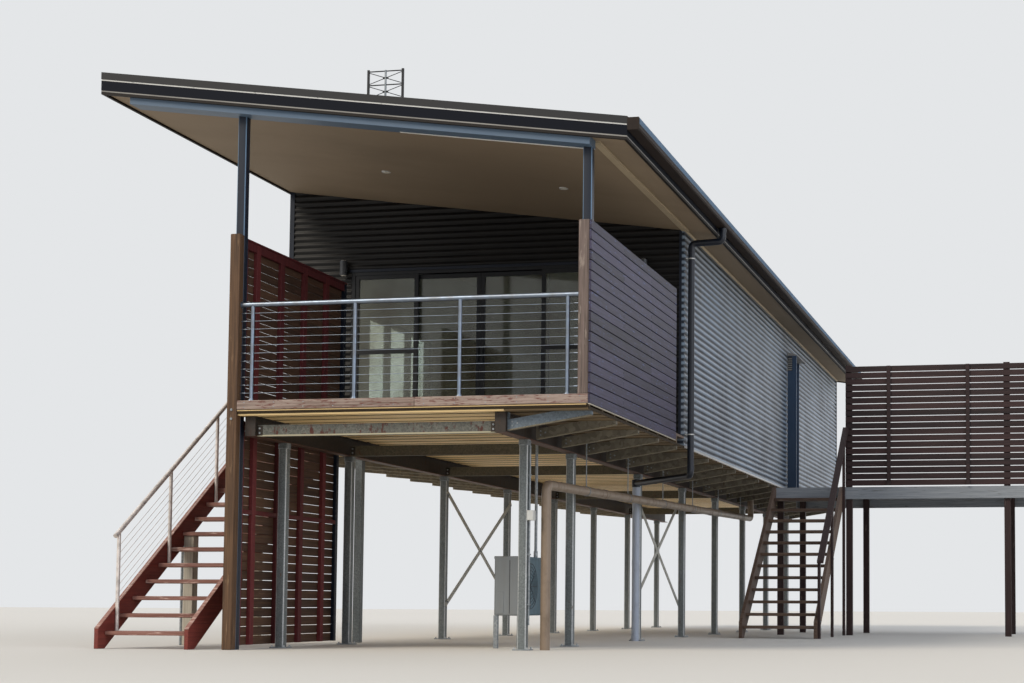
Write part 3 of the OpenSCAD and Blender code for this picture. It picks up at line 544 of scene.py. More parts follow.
def profile(outline: list[Point], axis: Axis, start: float, end: float) -> Mesh:
    """A flat outline extruded along an axis.

    Args:
        outline: its points, given by the two other coordinates in their order.
        axis: direction of the extrusion.
        start: where it begins on the axis.
        end: where it ends.

    Returns:
        The piece.
    """
    piece = bmesh.new()
    corners = []
    for first, second in outline:
        place = [first, second]
        place.insert(axis.value, start)
        corners.append(piece.verts.new(place))
    face = piece.faces.new(corners)
    grown = bmesh.ops.extrude_face_region(piece, geom=[face])
    along = Vector((0.0, 0.0, 0.0))
    along[axis.value] = end - start
    moved = [item for item in grown["geom"] if isinstance(item, bmesh.types.BMVert)]
    bmesh.ops.translate(piece, verts=moved, vec=along)
    bmesh.ops.recalc_face_normals(piece, faces=piece.faces[:])
    return piece


def rod(start: Place, end: Place, radius: float, sides: int, tip: float | None) -> Mesh:
    """A straight round bar or tube between two points.

    Args:
        start: centre of one end.
        end: centre of the other end.
        radius: its radius.
        sides: number of its sides.
        tip: radius at the far end where it differs, or None.

    Returns:
        The piece.
    """
    piece = bmesh.new()
    span = Vector(end) - Vector(start)
    turn = span.to_track_quat("Z", "Y").to_matrix().to_4x4()
    place = Matrix.Translation((Vector(start) + Vector(end)) / 2) @ turn
    bmesh.ops.create_cone(piece, cap_ends=True, segments=sides, radius1=radius,
                          radius2=radius if tip is None else tip, depth=span.length, matrix=place)
    return piece


def rounded(route: list[Vector], bend: float, steps: int = 5) -> list[Vector]:
    """Rounds the corners of a route.

    Args:
        route: its corner points.
        bend: length that each corner takes off its two straights.
        steps: number of straights in each bend.

    Returns:
        The points of the rounded route.
    """
    points = [route[0]]
    for before, corner, after in zip(route, route[1:], route[2:]):
        first = corner + (before - corner).normalized() * bend
        last = corner + (after - corner).normalized() * bend
        for step in range(steps + 1):
            share = step / steps
            points.append(first.lerp(corner, share).lerp(corner.lerp(last, share), share))
    points.append(route[-1])
    return points


def pipe(route: list[Vector], radius: float, sides: int) -> Mesh:
    """A round pipe along a route, closed at its ends.

    Args:
        route: the points of its centre line.
        radius: its radius.
        sides: number of its sides.

    Returns:
        The piece.
    """
    piece = bmesh.new()
    rings = []
    for index, point in enumerate(route):
        before = route[max(index - 1, 0)]
        after = route[min(index + 1, len(route) - 1)]
        turn = (after - before).to_track_quat("Z", "Y").to_matrix().to_4x4()
        ring = bmesh.ops.create_circle(piece, segments=sides, radius=radius,
                                       matrix=Matrix.Translation(point) @ turn)
        rings.append({edge for vert in ring["verts"] for edge in vert.link_edges})
    for first, second in zip(rings, rings[1:]):
        bmesh.ops.bridge_loops(piece, edges=list(first | second))
    bmesh.ops.holes_fill(piece, edges=[edge for edge in piece.edges if edge.is_boundary], sides=0)
    bmesh.ops.recalc_face_normals(piece, faces=piece.faces[:])
    return piece


def trimmed(piece: Mesh, point: Place, normal: Place) -> Mesh:
    """Cuts away what lies in front of a plane, and closes the cut.

    Args:
        piece: the piece that is cut.
        point: a point on the plane.
        normal: direction of the side that goes.

    Returns:
        The same piece.
    """
    everything = piece.verts[:] + piece.edges[:] + piece.faces[:]
    cut = bmesh.ops.bisect_plane(piece, geom=everything, plane_co=point, plane_no=normal, clear_outer=True)
    rim = [item for item in cut["geom_cut"] if isinstance(item, bmesh.types.BMEdge)]
    bmesh.ops.holes_fill(piece, edges=rim, sides=0)
    bmesh.ops.recalc_face_normals(piece, faces=piece.faces[:])
    return piece


def tube(middle: Point, side: float, low: float, high: float, ease: float = 0.010) -> Mesh:
    """An upright square tube with rounded corners.

    Args:
        middle: its centre on the X and Y axes.
        side: its width.
        low: height of its foot.
        high: height of its top.
        ease: radius of its corners.

    Returns:
        The piece.
    """
    piece = bmesh.new()
    place = Matrix.Translation((*middle, (low + high) / 2)) @ Matrix.Diagonal((side, side, high - low, 1.0))
    bmesh.ops.create_cube(piece, size=1.0, matrix=place)
    upright = [edge for edge in piece.edges if abs(edge.verts[0].co.z - edge.verts[1].co.z) > side]
    bmesh.ops.bevel(piece, geom=upright, offset=ease, offset_type="OFFSET", segments=3, profile=0.5,
                    affect="EDGES", material=-1)
    return piece


def waves(start: float, end: float, pitch: float, depth: float, steps: int = 8) -> list[Point]:
    """The line of a corrugated sheet, as distance along it and depth of the trough.

    Args:
        start: where the line begins.
        end: where it ends.
        pitch: length of one wave.
        depth: height of the waves.
        steps: points in each wave.

    Returns:
        The points of the line.
    """
    first = math.ceil(start / pitch * steps + 0.01)
    last = math.floor(end / pitch * steps - 0.01)
    places = [start] + [index * pitch / steps for index in range(first, last + 1)] + [end]
    return [(place, depth * (0.5 - 0.5 * math.cos(math.tau * place / pitch))) for place in places]


def spread(start: float, end: float, count: int) -> list[float]:
    """Evenly spaced places from one end to the other, both ends among them."""
    return [start + (end - start) * index / (count - 1) for index in range(count)]


def oblong(first: float, second: float, low: float, high: float) -> list[Point]:
    """The outline of a strip: its two faces, and its lower and upper height."""
    return [(first, low), (first, high), (second, high), (second, low)]


def span(node: str) -> tuple[Vector, Vector]:
    """A CAD node's lowest and highest corner, from the house's own corner."""
    low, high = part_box(node)
    return low - ORIGIN, high - ORIGIN


def cover(finish: Finish, *nodes: str) -> None:
    """Gives a finish to CAD nodes that keep their shape."""
    for node in nodes:
        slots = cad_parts[node].data.materials
        for index in range(len(slots)):
            slots[index] = finish.material()


class Form:
    """A mesh that grows piece by piece. Each piece carries a tone, by which its boards differ."""

    def __init__(self, name: str, *nodes: str) -> None:
        """Starts an empty form with its object's name and those of the CAD nodes that it stands for."""
        self.name = name
        self.nodes = nodes
        self.bm = bmesh.new()
        self.bm.verts.layers.float.new("tone")
        self.chance = random.Random(name)

    def put(self, piece: Mesh, slot: int = 0, tone: float | None = None) -> None:
        """Joins a piece to the form.

        Args:
            piece: the piece, which is used up.
            slot: number of its finish.
            tone: its shade from 0 to 1, or None for a chance one.
        """
        shade = self.chance.random() if tone is None else tone
        layer = piece.verts.layers.float.new("tone")
        for vert in piece.verts:
            vert[layer] = shade
        for face in piece.faces:
            face.material_index = slot
            face.smooth = True
        carrier = bpy.data.meshes.new("carrier")
        piece.to_mesh(carrier)
        piece.free()
        self.bm.from_mesh(carrier)
        bpy.data.meshes.remove(carrier)

    def even(self, piece: Mesh, slot: int = 0) -> None:
        """Joins a piece of one middle tone, for all that isn't boards."""
        self.put(piece, slot, EVEN)

    def slab(self, low: Place, high: Place, edge: float, slot: int = 0) -> None:
        """Joins a plate between two corners, with its edges eased."""
        self.even(block(low, high, edge), slot)

    def bar(self, start: Place, end: Place, radius: float, sides: int = 6, slot: int = 0,
            tip: float | None = None) -> None:
        """Joins a round bar, bolt or rod between two points."""
        self.even(rod(start, end, radius, sides, tip), slot)

    def paint(self, slot: int, test: Callable[[bmesh.types.BMFace], bool]) -> None:
        """Gives another finish to the faces so far that pass a test."""
        self.bm.normal_update()
        for face in self.bm.faces:
            if test(face):
                face.material_index = slot

    def place(self, finishes: list[Finish], slot: str) -> None:
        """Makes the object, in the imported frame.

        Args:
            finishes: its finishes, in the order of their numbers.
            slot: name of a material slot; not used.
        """
        bmesh.ops.translate(self.bm, verts=self.bm.verts[:], vec=ORIGIN)
        mesh = bpy.data.meshes.new(self.name)
        self.bm.to_mesh(mesh)
        self.bm.free()
        mesh.set_sharp_from_angle(angle=SMOOTH)
        for finish in finishes:
            mesh.materials.append(finish.material())
        made = bpy.data.objects.new(self.name, mesh)
        bpy.context.scene.collection.objects.link(made)
        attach(made, "house")
        if self.nodes:
            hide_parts(*self.nodes)
        LOG.info("%s: %d faces", self.name, len(mesh.polygons))


def stand_in(name: str, node: str) -> tuple[Form, Vector, Vector]:
    """Starts a form in place of a CAD node, and gives the node's lowest and highest corner."""
    return Form(name, node), *span(node)


@dataclass
class Slope:
    """The roof's slope: heights are measured up from the soffit, which falls to the right."""

    angle: float = math.radians(7.7)
    level: float = 4.94
    wall_x: float = 5.1

    @property
    def rise(self) -> float:
        """Height gained for each metre to the left."""
        return math.tan(self.angle)

    def soffit(self, x: float) -> float:
        """Height of the soffit above a place on the X axis."""
        return self.level + self.rise * (self.wall_x - x)

    def lean(self, piece: Mesh) -> Mesh:
        """Shears a piece from heights above the soffit to its place on the slope."""
        shear = Matrix.Identity(4)
        shear[2][0] = -self.rise
        shear[2][3] = self.soffit(0.0)
        bmesh.ops.transform(piece, matrix=shear, verts=piece.verts[:])
        return piece

    def under(self, piece: Mesh, gap: float) -> Mesh:
        """Trims a piece to the soffit, less a gap."""
        return trimmed(piece, (0.0, 0.0, self.soffit(0.0) - gap), (self.rise, 0.0, 1.0))


SLOPE = Slope()


def on_arris(face: bmesh.types.BMFace) -> bool:
    """Whether a face is on the rounded corner of a square post."""
    return min(abs(face.normal.x), abs(face.normal.y)) > 0.2


@dataclass
class Roof:
    """The leaning roof: corrugated sheet, capping and fascia, soffit, gutter and aerial."""

    pitch: float = 0.076
    wave: float = 0.016
    thick: float = 0.215
    sheet: float = 0.042
    sheet_drop: float = 0.014
    below: float = 0.007
    capping: float = 0.073
    leg: float = 0.13
    skin: float = 0.003
    line: float = 0.014
    fascia: float = 0.101
    strip: float = 0.013
    lip: float = 0.027
    screw_pitch: float = 0.67
    screw_start: float = 0.35
    corner_pitch: float = 0.09
    gutter_lip: float = 0.018
    gutter_ease: float = 0.014
    gutter_fold: float = 0.052
    straps: int = 20
    cove: float = 0.090
    beam_h: float = 0.085
    beam_bright_x: float = 3.1
    light_r: float = 0.055
    lens_r: float = 0.036
    lights: tuple[float, ...] = (2.0, 4.1)
    lights_y: float = 2.5
    grid_h: float = 0.31

    def build(self) -> None:
        """Builds the roof's pieces from the top down."""
        inset = Vector((0.0, 0.0002, 0.0))
        self.low, self.high = span("roof_fascia")[0] + inset, span("roof_fascia")[1] - inset
        self.roof_sheet()
        self.edges()
        self.gutter()
        self.soffit_fittings()
        self.aerial()
        cover(LINING_BOARD, "roof_panel")
        cover(SOFFIT_PAINT, "soffit")
        cover(BEAM_STEEL, "front_beam")

    def roof_sheet(self) -> None:
        """The corrugated sheet, whose waves run down the slope."""
        form = Form("Roof_corrugated_sheet", "roof_sheet")
        inset, lap = 0.006, 0.004
        y0, y1 = self.low.y + inset, self.high.y - inset
        top, base = self.thick - self.sheet_drop, self.thick - self.sheet
        line = [(y, top - depth) for y, depth in waves(y0, y1, self.pitch, self.wave, 6)]
        section = line + [(y1, base), (y0, base)]
        form.put(SLOPE.lean(profile(section, Axis.X, self.low.x + inset, self.high.x - lap)))
        form.place([ROOF_STEEL], "roof_metal")

    def edge_layers(self) -> list[tuple[float, float, float, float, int]]:
        """The layers under the capping: lower and upper height, setback, depth and number of the finish."""
        layers = []
        upper = self.thick - self.below - self.capping
        for tall, back, deep, slot in ((self.line, 0.004, 0.030, 1), (self.fascia, 0.002, 0.036, 2),
                                       (self.strip, 0.004, 0.030, 4), (self.lip, 0.003, 0.036, 3)):
            layers.append((upper - tall, upper, back, deep, slot))
            upper -= tall
        return layers

    def edges(self) -> None:
        """The capping, flashing line, fascia, lower strip and dark lip round the roof."""
        form = Form("Roof_edge_capping_and_fascia", "roof_fascia")
        x0, x1, y0, y1 = self.low.x, self.high.x, self.low.y, self.high.y
        top, skin, proud = self.thick - self.below, self.skin, 0.0008
        cap = top - self.capping

        def hook(edge: float, way: float, inset: float) -> list[Point]:
            """The capping's section: down the face and over the top."""
            face, upper, far = edge + way * inset, top - inset, edge + way * self.leg
            inner = edge + way * skin
            return [(face, cap), (face, upper), (far, upper), (far, top - skin), (inner, top - skin),
                    (inner, cap)]

        for edge, way in ((y0, 1), (y1, -1)):
            form.even(SLOPE.lean(profile(hook(edge, way, 0.0), Axis.X, x0, x1)))
            for low, high, back, deep, slot in self.edge_layers():
                band = oblong(edge + way * back, edge + way * deep, low, high)
                form.even(SLOPE.lean(profile(band, Axis.X, x0 + back, x1 - back)), slot)
        form.even(SLOPE.lean(profile(hook(x0, 1, proud), Axis.Y, y0 + skin, y1 - skin)))
        for low, high, back, deep, slot in self.edge_layers():
            for band in (oblong(x0 + back, x0 + deep, low, high), oblong(x1 - deep, x1 - back, low, high)):
                form.even(SLOPE.lean(profile(band, Axis.Y, y0 + deep, y1 - deep)), slot)
        self.screws(form)
        form.place([CAPPING_STEEL, FLASHING_STEEL, FASCIA_STEEL, LIP_STEEL, STRIP_STEEL], "fascia_paint")

    def screws(self, form: Form) -> None:
        """Sets bright screws on the flashing line, along the front and at the left corner."""
        height = self.thick - self.below - self.capping - self.line / 2
        x0, y0 = self.low.x, self.low.y
        for index in range(round((self.high.x - x0) / self.screw_pitch)):
            x = x0 + self.screw_start + self.screw_pitch * index
            z = SLOPE.soffit(x) + height
            form.bar((x, y0 + 0.006, z), (x, y0 + 0.001, z), 0.008, slot=1)
            form.slab((x - 0.004, y0 + 0.001, z), (x + 0.004, y0 + 0.004, z + 0.022), 0.0, 1)
        z = SLOPE.soffit(x0) + height
        for index in range(3):
            y = y0 + 0.05 + self.corner_pitch * index
            form.bar((x0 + 0.006, y, z), (x0 + 0.001, y, z), 0.007, slot=1)

    def gutter(self) -> None:
        """A quad gutter: a painted pale sky reflection on the upper outer face, a painted highlight along
        its top edge, brown elsewhere outside, inside and under, with straps and end caps.
        """
        form, low, high = stand_in("Gutter_along_eave", "gutter")
        x0, x1, z0, z1 = low.x, high.x, low.z, high.z
        skin, lip, ease, fold = self.skin, self.gutter_lip, self.gutter_ease, z0 + self.gutter_fold
        outer = [(x0, z1), (x0, z0), (x1 - ease, z0), (x1 - 0.002, z0 + ease), (x1 - 0.002, fold - 0.004),
                 (x1, fold), (x1, z1 - 0.01), (x1 - 0.008, z1), (x1 - lip, z1 - 0.004)]
        inner = [(x1 - lip, z1 - 0.010), (x1 - 0.009, z1 - 0.009), (x1 - skin, z1 - 0.014),
                 (x1 - skin - 0.002, z0 + ease), (x1 - ease, z0 + skin), (x0 + skin, z0 + skin),
                 (x0 + skin, z1)]
        form.even(profile(outer + inner, Axis.Y, low.y + 0.002, high.y - 0.002), 1)
        # The upper outer face takes the painted sky reflection.
        form.paint(0, lambda face: face.normal.x > 0.9 and face.calc_center_median().z > fold)
        # The sloping top edge takes a painted highlight in dull zinc.
        form.paint(2, lambda face: face.normal.x > 0.4 and face.normal.z > 0.4)
        for start in (low.y, high.y - 0.0045):
            form.even(profile(outer[:8], Axis.Y, start, start + 0.004), 1)
        for y in spread(low.y + 0.25, high.y - 0.25, self.straps):
            form.slab((x0, y - 0.012, z1 - 0.012), (x1 - lip / 2, y + 0.012, z1 - 0.009), 0.0, 1)
        form.place([GUTTER_SKY_REFLECTION, GUTTER_INSIDE, STRIP_STEEL], "gutter_paint")

    def soffit_fittings(self) -> None:
        """The cove strips under the soffit, a painted white highlight on the beam's lower back edge and two
        recessed lights.
        """
        form = Form("Soffit_cove_and_lights")
        front, wall, edge = span("front_beam")[1].y, span("front_wall_over")[0].y, SLOPE.wall_x
        a, b = edge - self.cove / 2, edge + self.cove / 2
        cove = [(a, 0.0), (a, -0.012), (b, -0.020), (b, 0.0)]
        form.even(SLOPE.lean(profile(cove, Axis.Y, front, wall)))
        eave = [(edge, 0.0), (edge, -0.022), (edge + 0.008, -0.022), (edge + 0.022, -0.005),
                (edge + 0.022, 0.0)]
        form.even(SLOPE.lean(profile(eave, Axis.Y, wall, span("right_wall")[1].y)))
        # A thin strip under the beam's back edge: a painted highlight in white.
        lip = oblong(front - 0.030, front, -self.beam_h - 0.003, -self.beam_h)
        form.even(SLOPE.lean(profile(lip, Axis.X, self.beam_bright_x, edge - 0.005)), 3)
        y = self.lights_y
        for x in self.lights:
            z = SLOPE.soffit(x)
            form.bar((x, y, z + 0.004), (x, y, z - 0.008), self.light_r, 24, 1, self.light_r - 0.005)
            form.bar((x, y, z), (x, y, z - 0.010), self.lens_r, 20, 2)
        form.place([COVE_PAINT, FLASHING_STEEL, LAMP_GLASS, BEAM_WHITE_HIGHLIGHT], "soffit_paint")

    def aerial(self) -> None:
        """The roof aerial: a mast with a flat grid of rods and its crossed feeders."""
        form, low, high = stand_in("Roof_aerial", "antenna")
        x, y, rail = (low.x + high.x) / 2, (low.y + high.y) / 2, 0.026
        form.bar((x, y, low.z), (x, y, high.z - 0.01), 0.012, 12, 1)
        form.bar((x, y, low.z + 0.004), (x, y, low.z + 0.02), 0.06, 12, 0, 0.045)
        for side in (low.x, high.x - rail):
            form.slab((side, y - 0.010, high.z - 0.35), (side + rail, y + 0.010, high.z), 0.002)
        for index in range(3):
            z = high.z - 0.02 - self.grid_h * index / 2
            form.bar((low.x, y, z), (high.x, y, z), 0.007, 8)
        half = Vector((0.03, 0.0, 0.0))
        for index in range(2):
            middle = Vector((x, y, high.z - 0.02 - self.grid_h * (index + 0.5) / 2))
            form.bar(middle - half, middle + half, 0.012, 8)
            for side in SIDES:
                for up in (-0.065, 0.065):
                    form.bar(middle, middle + Vector((side * (high.x - x - 0.02), 0.0, up)), 0.0045)
        form.place([AERIAL_METAL, GALVANISED_ROD], "antenna_metal")


@dataclass
class Walls:
    """The four walls: corrugated steel outside on a thick core, lined inside, with steel corners."""

    pitch: float = 0.076
    wave: float = 0.016
    trim: float = 0.060
    trim_top: float = 5.8
    stop_top: float = 5.2
    stop_foot: float = 0.13
    skin: float = 0.004
    proud: float = 0.0015
    sheet_back: float = 0.020
    lap_short: float = 0.070
    lap_rise: float = 0.20
    roof_gap: float = 0.0003

    def build(self) -> None:
        """Builds the four walls, the front one in three pieces, and the corner and base trims."""
        self.side("left_wall", True, span("window_frame"))
        self.side("right_wall", False, span("side_door"))
        for name in ("front_wall_left", "front_wall_right", "front_wall_over"):
            self.end(name, True)
        self.end("back_wall", False)
        self.trims()

    def outline(self, low: float, high: float, face: float, back: float) -> list[Point]:
        """The section of a wall whose waves are stacked upwards, as depth and height."""
        way = 1.0 if back > face else -1.0
        line = [(face + way * (0.001 + depth), z) for z, depth in waves(low, high, self.pitch, self.wave)]
        return line + [(back, high), (back, low)]

    def lined(self, form: Form, piece: Mesh, inward: Vector) -> None:
        """Puts a wall piece into the form, and gives its inner face the lining."""
        form.even(piece)
        form.paint(1, lambda face: face.normal.dot(inward) > 0.99 and face.calc_area() > 0.05)

    def side(self, node: str, left: bool, hole: tuple[Vector, Vector]) -> None:
        """A side wall in runs in front of, over, under and behind its opening.

        Args:
            node: name of the CAD node.
            left: whether it is the left wall.
            hole: lowest and highest corner of its opening.
        """
        form, low, high = stand_in(f"{node.capitalize()}_corrugated", node)
        face, back = (low.x, high.x) if left else (high.x, low.x)
        inward = Vector((1.0 if left else -1.0, 0.0, 0.0))
        top, front = high.z + 0.01, low.y + self.sheet_back
        runs = [(front, hole[0].y, low.z, top), (hole[1].y, high.y, low.z, top),
                (hole[0].y, hole[1].y, hole[1].z, top), (hole[0].y, hole[1].y, low.z, hole[0].z)]
        for y0, y1, z0, z1 in runs:
            section = self.outline(z0, z1, face, back)
            self.lined(form, SLOPE.under(profile(section, Axis.Y, y0, y1), self.roof_gap), inward)
        form.place([CLADDING_SIDE, LINING_BOARD], "side_cladding")

    def end(self, node: str, front: bool) -> None:
        """A piece of the front or back wall, trimmed to the roof. In front it laps the side walls' ends.

        Args:
            node: name of the CAD node.
            front: whether it faces the deck.
        """
        form, low, high = stand_in(f"{node.capitalize()}_corrugated", node)
        face, back = (low.y, high.y) if front else (high.y, low.y)
        section = self.outline(low.z, high.z + 0.01, face, back)
        piece = SLOPE.under(profile(section, Axis.X, low.x, high.x), self.roof_gap)
        self.lined(form, piece, Vector((0.0, 1.0 if front else -1.0, 0.0)))
        lap = {"front_wall_left": (0.004, low.x),
               "front_wall_right": (high.x, SLOPE.wall_x - self.lap_short)}
        if node in lap:
            section = self.outline(low.z, high.z + self.lap_rise, face, face + self.sheet_back - 0.001)
            form.even(SLOPE.under(profile(section, Axis.X, *lap[node]), self.roof_gap))
        finish, slot = (CLADDING_FRONT, "front_cladding") if front else (CLADDING_SIDE, "side_cladding")
        form.place([finish, LINING_BOARD], slot)

    def trims(self) -> None:
        """Folded steel corners, a base trim along each side and a trim where the deck's wall ends."""
        form = Form("Wall_corner_and_base_trims")
        low, high = span("left_wall")[0], span("right_wall")[1]
        skin, leg = self.skin, self.trim
        for x, side, y, deep in ((low.x, 1.0, low.y, 1.0), (low.x, 1.0, high.y, -1.0),
                                 (high.x, -1.0, high.y, -1.0)):
            a, b = x - side * self.proud, y - deep * self.proud
            corner = [(a, b), (a + side * leg, b), (a + side * leg, b + deep * skin),
                      (a + side * skin, b + deep * skin), (a + side * skin, b + deep * leg),
                      (a, b + deep * leg)]
            form.even(SLOPE.under(profile(corner, Axis.Z, low.z, self.trim_top), 0.001))
        stop = SLOPE.wall_x - self.lap_short
        end = block((stop - 0.004, low.y - 0.004, low.z + self.stop_foot),
                    (stop + 0.024, low.y + 0.012, self.stop_top), 0.0)
        form.even(SLOPE.under(end, 0.001))
        for x, side in ((low.x, 1.0), (high.x, -1.0)):
            base = oblong(x - side * self.proud, x + side * 0.010, low.z - 0.004, low.z + 0.022)
            form.even(profile(base, Axis.Y, low.y + self.sheet_back, high.y), 1)
        form.place([TRIM_STEEL, FLASHING_STEEL], "side_cladding")


@dataclass
class Openings:
    """The glazed door with its sliding leaves, the window, the side door and the wall lamps."""

    lamps_at: tuple[Point, ...] = ((0.76, 4.62), (4.60, 4.50))
    lamp_r: float = 0.045
    lamp_half: float = 0.09
    hood_w: float = 0.150
    hood_skin: float = 0.020
    louvres: int = 6
    louvre_pitch: float = 0.036

    def build(self) -> None:
        """Dresses the frames and glass, and adds handles, lamps and flashings."""
        cover(DOOR_ALUMINIUM, "door_frame", "left_leaf", "right_leaf", "window_frame")
        cover(GLASS, "door_glass", "left_leaf_glass", "right_leaf_glass")
        cover(WINDOW_GLASS, "window_glass")
        cover(SIDE_DOOR_PAINT, "side_door")
        self.hood()
        self.lamps()
        self.door_fittings()

    def hood(self) -> None:
        """The side door's hood: a folded near fin with a small louvre, a slim far fin and a sloping top."""
        form, low, high = stand_in("Side_door_hood_fins", "side_door_hood")
        skin, top, back, tip = self.hood_skin, high.z - 0.060, low.x + 0.002, low.x + self.hood_w
        form.slab((back, low.y, low.z), (tip, low.y + skin, top), 0.003)
        form.slab((tip - 0.020, low.y + skin, low.z), (tip, low.y + 0.045, top), 0.003)
        form.slab((back, high.y - skin, low.z), (low.x + 0.050, high.y, top), 0.003)
        lid = [(back, top), (tip + 0.010, top), (tip + 0.010, top + 0.012), (back, high.z - 0.004)]
        form.even(profile(lid, Axis.Y, low.y + 0.001, high.y - 0.001), 1)
        for row in range(self.louvres):
            z = top - 0.24 + self.louvre_pitch * row
            near, far = (low.x + 0.006, low.y - 0.006, z), (low.x + 0.075, low.y + 0.002, z + 0.018)
            form.slab(near, far, 0.002, 1)
        # A dark plate behind the louvres: painted shade in the vent's opening.
        form.slab((low.x + 0.004, low.y - 0.003, top - 0.25), (low.x + 0.080, low.y + 0.001, top - 0.01),
                  0.0, 2)
        form.place([HOOD_STEEL, STRIP_STEEL, UNIT_DARK], "hood_metal")

    def lamps(self) -> None:
        """Two up-and-down lamps on the front wall, with a lens at each end."""
        form = Form("Wall_lamps")
        wall, half, lens = span("front_wall_left")[0].y, self.lamp_half, self.lamp_half + 0.004
        y = wall - 0.065
        for x, z in self.lamps_at:
            form.bar((x, y, z - half), (x, y, z + half), self.lamp_r, 20)
            form.bar((x, y, z - lens), (x, y, z + lens), self.lamp_r - 0.010, 16, 1)
            form.slab((x - 0.03, y + 0.02, z - 0.03), (x + 0.03, wall + 0.002, z + 0.03), 0.004)
        form.place([LAMP_METAL, LAMP_GLASS], "door_metal")

    def door_fittings(self) -> None:
        """The side door's handle, and the flashings over the window and the glazed door."""
        form = Form("Door_fittings_and_flashings")
        low, high = span("side_door")
        knob = Vector((high.x, low.y + 0.07, low.z + 1.0))
        form.slab(knob + Vector((0.0, -0.025, -0.09)), knob + Vector((0.008, 0.025, 0.09)), 0.003)
        form.bar(knob, knob + Vector((0.05, 0.0, 0.0)), 0.010, 12)
        form.bar(knob + Vector((0.045, 0.0, 0.0)), knob + Vector((0.045, 0.12, 0.0)), 0.009, 12)
        low, high = span("window_frame")
        drip = [(-0.004, high.z + 0.004), (0.030, high.z + 0.016), (0.030, high.z + 0.002),
                (0.0, high.z - 0.008)]
        sill = [(-0.004, low.z - 0.012), (0.035, low.z + 0.002), (0.035, low.z - 0.010),
                (0.0, low.z - 0.022)]
        for fold in (drip, sill):
            form.even(profile(fold, Axis.Y, low.y - 0.03, high.y + 0.03), 1)
        low, high = span("door_frame")
        wall = span("front_wall_over")[0].y
        over = oblong(wall - 0.003, wall + 0.018, high.z - 0.002, high.z + 0.03)
        form.even(profile(over, Axis.X, low.x - 0.03, high.x + 0.03), 1)
        form.place([STAINLESS, TRIM_STEEL], "door_metal")


